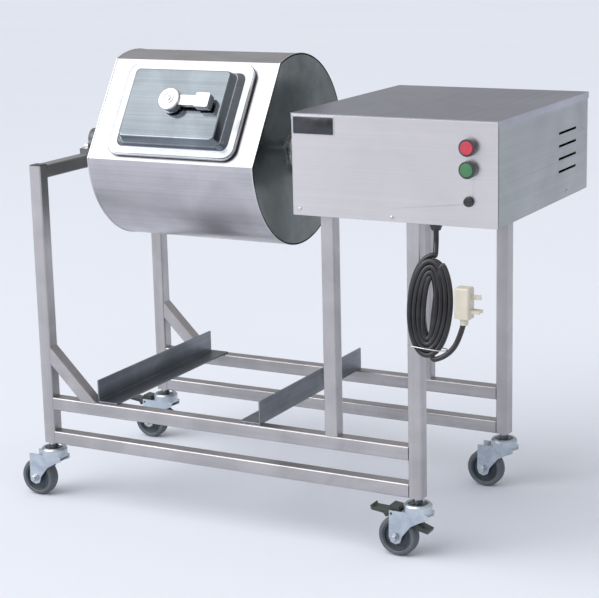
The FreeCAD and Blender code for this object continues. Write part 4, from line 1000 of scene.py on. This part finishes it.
@dataclass(frozen=True)
class Drum:
    """Drum with its rims, shaft flanges, bearings and their bolts; sizes in mm."""

    start: float = 110.0
    length: float = 365.0
    radius: float = 182.5
    flat: float = 148.0
    tilt: float = 33.0
    axis_y: float = 222.0
    axis_z: float = 583.0
    bolt_circle: float = 38.0
    hub: float = 7.0
    flange_bolts: int = 6
    block_x: float = 13.0
    block_foot_top: float = 569.0
    block_bolts: tuple[float, float] = (-39.0, 39.0)
    bearing_face: float = 570.0
    bearing_bolts: tuple = ((-30, -30), (-30, 30), (30, -30), (30, 30))
    flange_bolt: float = 8.0
    block_bolt: float = 13.0
    bearing_bolt: float = 11.0
    rim: tuple = ((-2.4, 0.0), (0.2, 0.0), (0.9, 0.4), (1.1, 1.4), (0.9, 2.6), (0.1, 3.2))
    arc_steps: int = 96
    flat_steps: int = 12

    def outline(self, proud: float, along: float) -> Ring:
        """The drum's section, this far proud of it, at a place along the axis.

        Args:
            proud: How far outside the shell.
            along: Distance from its left end.

        Returns:
            The section's corners, in metres.
        """
        angle = math.radians(self.tilt)
        out = Vector((0.0, -math.cos(angle), math.sin(angle)))
        across = Vector((0.0, math.sin(angle), math.cos(angle)))
        radius = self.radius + proud
        flat = self.flat + proud
        first = math.acos(flat / radius)
        middle = at(self.start + along, self.axis_y, self.axis_z)
        ring = []
        for i in range(self.arc_steps + 1):
            turn = first + (2 * math.pi - 2 * first) * i / self.arc_steps
            ring.append(middle + (out * math.cos(turn) + across * math.sin(turn)) * radius * MM)
        half = radius * math.sin(first)
        for i in range(1, self.flat_steps):
            share = 2 * i / self.flat_steps - 1
            ring.append(middle + (out * flat + across * half * share) * MM)
        return ring

    def build(self, finish: Finish) -> None:
        """Dress the drum and add the rolled rims and bolts.

        Args:
            finish: The finishes.
        """
        finish_node("drum_shell", finish.drum)
        # The end plates take the darker copy of the drum steel: painted shade.
        finish_node("drum_ends", finish.end)
        finish_node("mouth_collar", finish.drum, 0.5)
        finish_node("drum_baffles", finish.drum, 0.5)
        finish_node("left_trunnion", finish.turned, 0.5)
        finish_node("drive_trunnion", finish.turned, 0.5)
        finish_node("bearing_block", finish.bearing, 1.5)
        finish_node("flange_bearing", finish.bearing, 1.2)
        for name, edge, way in (("left", 0.0, 1.0), ("right", self.length, -1.0)):
            rings = [self.outline(proud, edge + way * along) for proud, along in self.rim]
            verts, faces = loft(rings, close_ends=False)
            rim = make_piece(name + "_drum_rim", verts, faces, finish.lever, "drum")
        self.build_bolts(finish)

    def build_bolts(self, finish: Finish) -> None:
        """Bolts of the shaft flanges and of both bearings.

        Args:
            finish: The finishes.
        """
        rows = [("left", self.start - self.hub, -RIGHT),
                ("drive", self.start + self.length + self.hub, RIGHT)]
        for name, x, normal in rows:
            for number in range(self.flange_bolts):
                turn = 2 * math.pi * (number + 0.5) / self.flange_bolts
                point = at(x, self.axis_y + self.bolt_circle * math.cos(turn),
                           self.axis_z + self.bolt_circle * math.sin(turn))
                head = bolt("%s_flange_bolt_%d" % (name, number), point, normal,
                            self.flange_bolt, finish.fastener, "drum")
        for number, side in enumerate(self.block_bolts):
            point = at(self.block_x, self.axis_y + side, self.block_foot_top)
            head = bolt("block_bolt_%d" % number, point, UP, self.block_bolt, finish.fastener,
                        "machine")
        for number, (side, rise) in enumerate(self.bearing_bolts):
            point = at(self.bearing_face, self.axis_y + side, self.axis_z + rise)
            head = bolt("flange_bearing_bolt_%d" % number, point, -RIGHT, self.bearing_bolt,
                        finish.fastener, "machine")


@dataclass(frozen=True)
class Lid:
    """Pressed lid with a rolled rim, raised field and lever; sizes in mm off the axis."""

    middle: tuple[float, float, float] = (292.5, 222.0, 583.0)
    tilt: float = 33.0
    flange: tuple = ((122.4, 79.8, 15.5, 152.0), (139.0, 97.0, 24.0, 152.0),
                     (140.6, 98.6, 25.6, 152.6), (141.0, 99.0, 26.0, 153.6),
                     (140.4, 98.4, 25.4, 155.4), (139.2, 97.2, 24.2, 156.2),
                     (137.8, 95.8, 22.8, 156.0), (136.6, 94.6, 21.6, 155.2),
                     (135.0, 93.0, 20.0, 154.9), (122.4, 80.4, 15.5, 154.9))
    field: tuple = ((101.0, 68.0, 6.0, 180.0), (108.0, 75.0, 11.0, 162.0),
                    (119.0, 77.0, 14.0, 153.6), (122.4, 80.4, 16.8, 154.4),
                    (122.3, 80.3, 16.7, 155.2), (120.8, 79.2, 16.2, 156.0),
                    (113.0, 77.6, 14.2, 162.2), (111.4, 77.2, 13.5, 163.5),
                    (110.2, 76.8, 13.0, 164.0), (109.0, 75.6, 12.4, 163.8),
                    (108.2, 74.8, 11.8, 164.6), (104.8, 71.6, 9.2, 179.4),
                    (104.0, 70.8, 8.6, 181.0), (102.8, 69.6, 8.0, 181.8),
                    (101.0, 67.8, 7.4, 182.0))
    screw: tuple = ((6.0, 204.3), (6.0, 206.0), (5.0, 207.2), (2.0, 207.8))
    washer: tuple = ((11.0, 204.25), (11.0, 204.9), (10.4, 205.3), (5.0, 205.3))
    boss: tuple = ((15.6, 181.8), (15.2, 184.0), (15.0, 186.4), (14.4, 187.0), (6.4, 187.0))

    def place(self) -> Matrix:
        """The flat's own axes: X along the drum, Y up the slope, Z outwards.

        Returns:
            From those axes to the row frame.
        """
        angle = math.radians(self.tilt)
        out = Vector((0.0, -math.cos(angle), math.sin(angle)))
        return facing(at(*self.middle), out, RIGHT)

    def build(self, finish: Finish) -> None:
        """Make the pressed lid and dress its gasket, bar and lever.

        Args:
            finish: The finishes.
        """
        place = self.place()
        finish_node("lid_gasket", finish.gasket)
        finish_node("lid_locking_bar", finish.turned, 0.8)
        finish_node("lid_lever", finish.lever, 0.6)
        rings = [rounded(x * MM, y * MM, c * MM, w * MM) for x, y, c, w in self.flange]
        verts, faces = loft(rings + rings[:1], close_ends=False)
        rim = make_piece("lid_flange", verts, faces, finish.lid, "lid", place)
        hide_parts("lid")
        # The raised field takes the dark copy of the lid steel: painted shade.
        rings = [rounded(x * MM, y * MM, c * MM, w * MM) for x, y, c, w in self.field]
        verts, faces = loft(rings)
        field = make_piece("lid_field", verts, faces, finish.field, "lid", place)
        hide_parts("lid")
        rings = [circle(radius * MM, height * MM) for radius, height in self.boss]
        verts, faces = loft(rings, close_ends=False)
        boss = make_piece("lid_boss", verts, faces, finish.lever, "lid", place)
        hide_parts("lid")
        cap = lathe("lever_screw", self.screw, finish.fastener, "lever", place, 6)
        ring = lathe("lever_washer", self.washer, finish.turned, "lever", place, 40)


@dataclass(frozen=True)
class Casters:
    """Four swivel casters with their seals and axle nuts; sizes in mm."""

    columns: tuple[float, float] = (13.0, 813.0)
    rows: tuple[float, float] = (13.0, 431.0)
    floor: float = -115.0
    trail: float = 38.0
    wheel_radius: float = 37.5
    axle_face: float = 21.0
    axle_nut: float = 10.0
    seal: tuple = ((6.7, 97.1), (18.4, 97.1), (18.4, 101.5), (13.0, 103.2), (6.7, 103.2))

    def build(self, finish: Finish) -> None:
        """Dress every caster and add its small pieces.

        Args:
            finish: The finishes.
        """
        for side, y in zip(("front", "back"), self.rows):
            for end, x in zip(("left", "right"), self.columns):
                self.build_one(side + "_" + end, x, y, finish)
        for node in ("front_right_brake", "back_left_brake"):
            finish_node(node, finish.pedal, 1.4)

    def build_one(self, name: str, x: float, y: float, finish: Finish) -> None:
        """Dress one caster.

        Args:
            name: Its place, such as front_left.
            x: Its swivel axis from the frame's left face.
            y: Its swivel axis from the frame's front face.
            finish: The finishes.
        """
        finish_node(name + "_stem", finish.zinc, 0.6)
        finish_node(name + "_fork", finish.zinc, 0.8)
        finish_node(name + "_hub", finish.hub, 0.6)
        finish_node(name + "_tyre", finish.tyre, 0.8)
        foot = Matrix.Translation(at(x, y, self.floor))
        rings = [circle(radius * MM, height * MM) for radius, height in self.seal]
        verts, faces = loft(rings + rings[:1], close_ends=False)
        seal = make_piece(name + "_seal", verts, faces, finish.black, name + "_swivel", foot)
        for label, way in (("near", -1.0), ("far", 1.0)):
            point = at(x - self.trail, y + way * self.axle_face, self.floor + self.wheel_radius)
            nut = bolt(name + "_axle_nut_" + label, point, Vector((0.0, way, 0.0)),
                       self.axle_nut, finish.fastener, name + "_swivel", washer=False)


@dataclass(frozen=True)
class CoilTie:
    """A thin pale wire that holds the coil's turns together near its foot; in mm."""

    middle: tuple[float, float, float] = (854.0, -33.0, 292.0)
    lean: float = -8.5
    wide: float = 38.0
    deep: float = 14.0
    wire: float = 0.9
    wave: float = 1.5
    steps: int = 16

    def build(self, finish: Finish) -> None:
        """Bend the wire once round the turns; its ends meet at the front.

        Args:
            finish: The finishes.
        """
        turn = Matrix.Rotation(math.radians(self.lean), 4, "X")
        points = []
        for i in range(self.steps + 1):
            angle = -math.pi / 2 + 2 * math.pi * i / self.steps
            local = Vector((self.wide * math.cos(angle), self.deep * math.sin(angle),
                            self.wave * math.sin(angle * 2)))
            points.append(at(*self.middle) + turn @ local * MM)
        tie = tube_curve("coil_tie", points, self.wire * MM, finish.wire, "machine")


def main() -> None:
    """Build the studio and dress every part of the machine."""
    logging.basicConfig(level=logging.INFO, format="%(message)s")
    finish = Finish()
    Studio().build()
    MainsCord().build(finish)
    finish_node("plug", finish.plug, 0.6)
    SideFrames().build(finish)
    DriveHousing().build(finish)
    Drum().build(finish)
    Lid().build(finish)
    Casters().build(finish)
    CoilTie().build(finish)


if __name__ == "__main__":
    main()
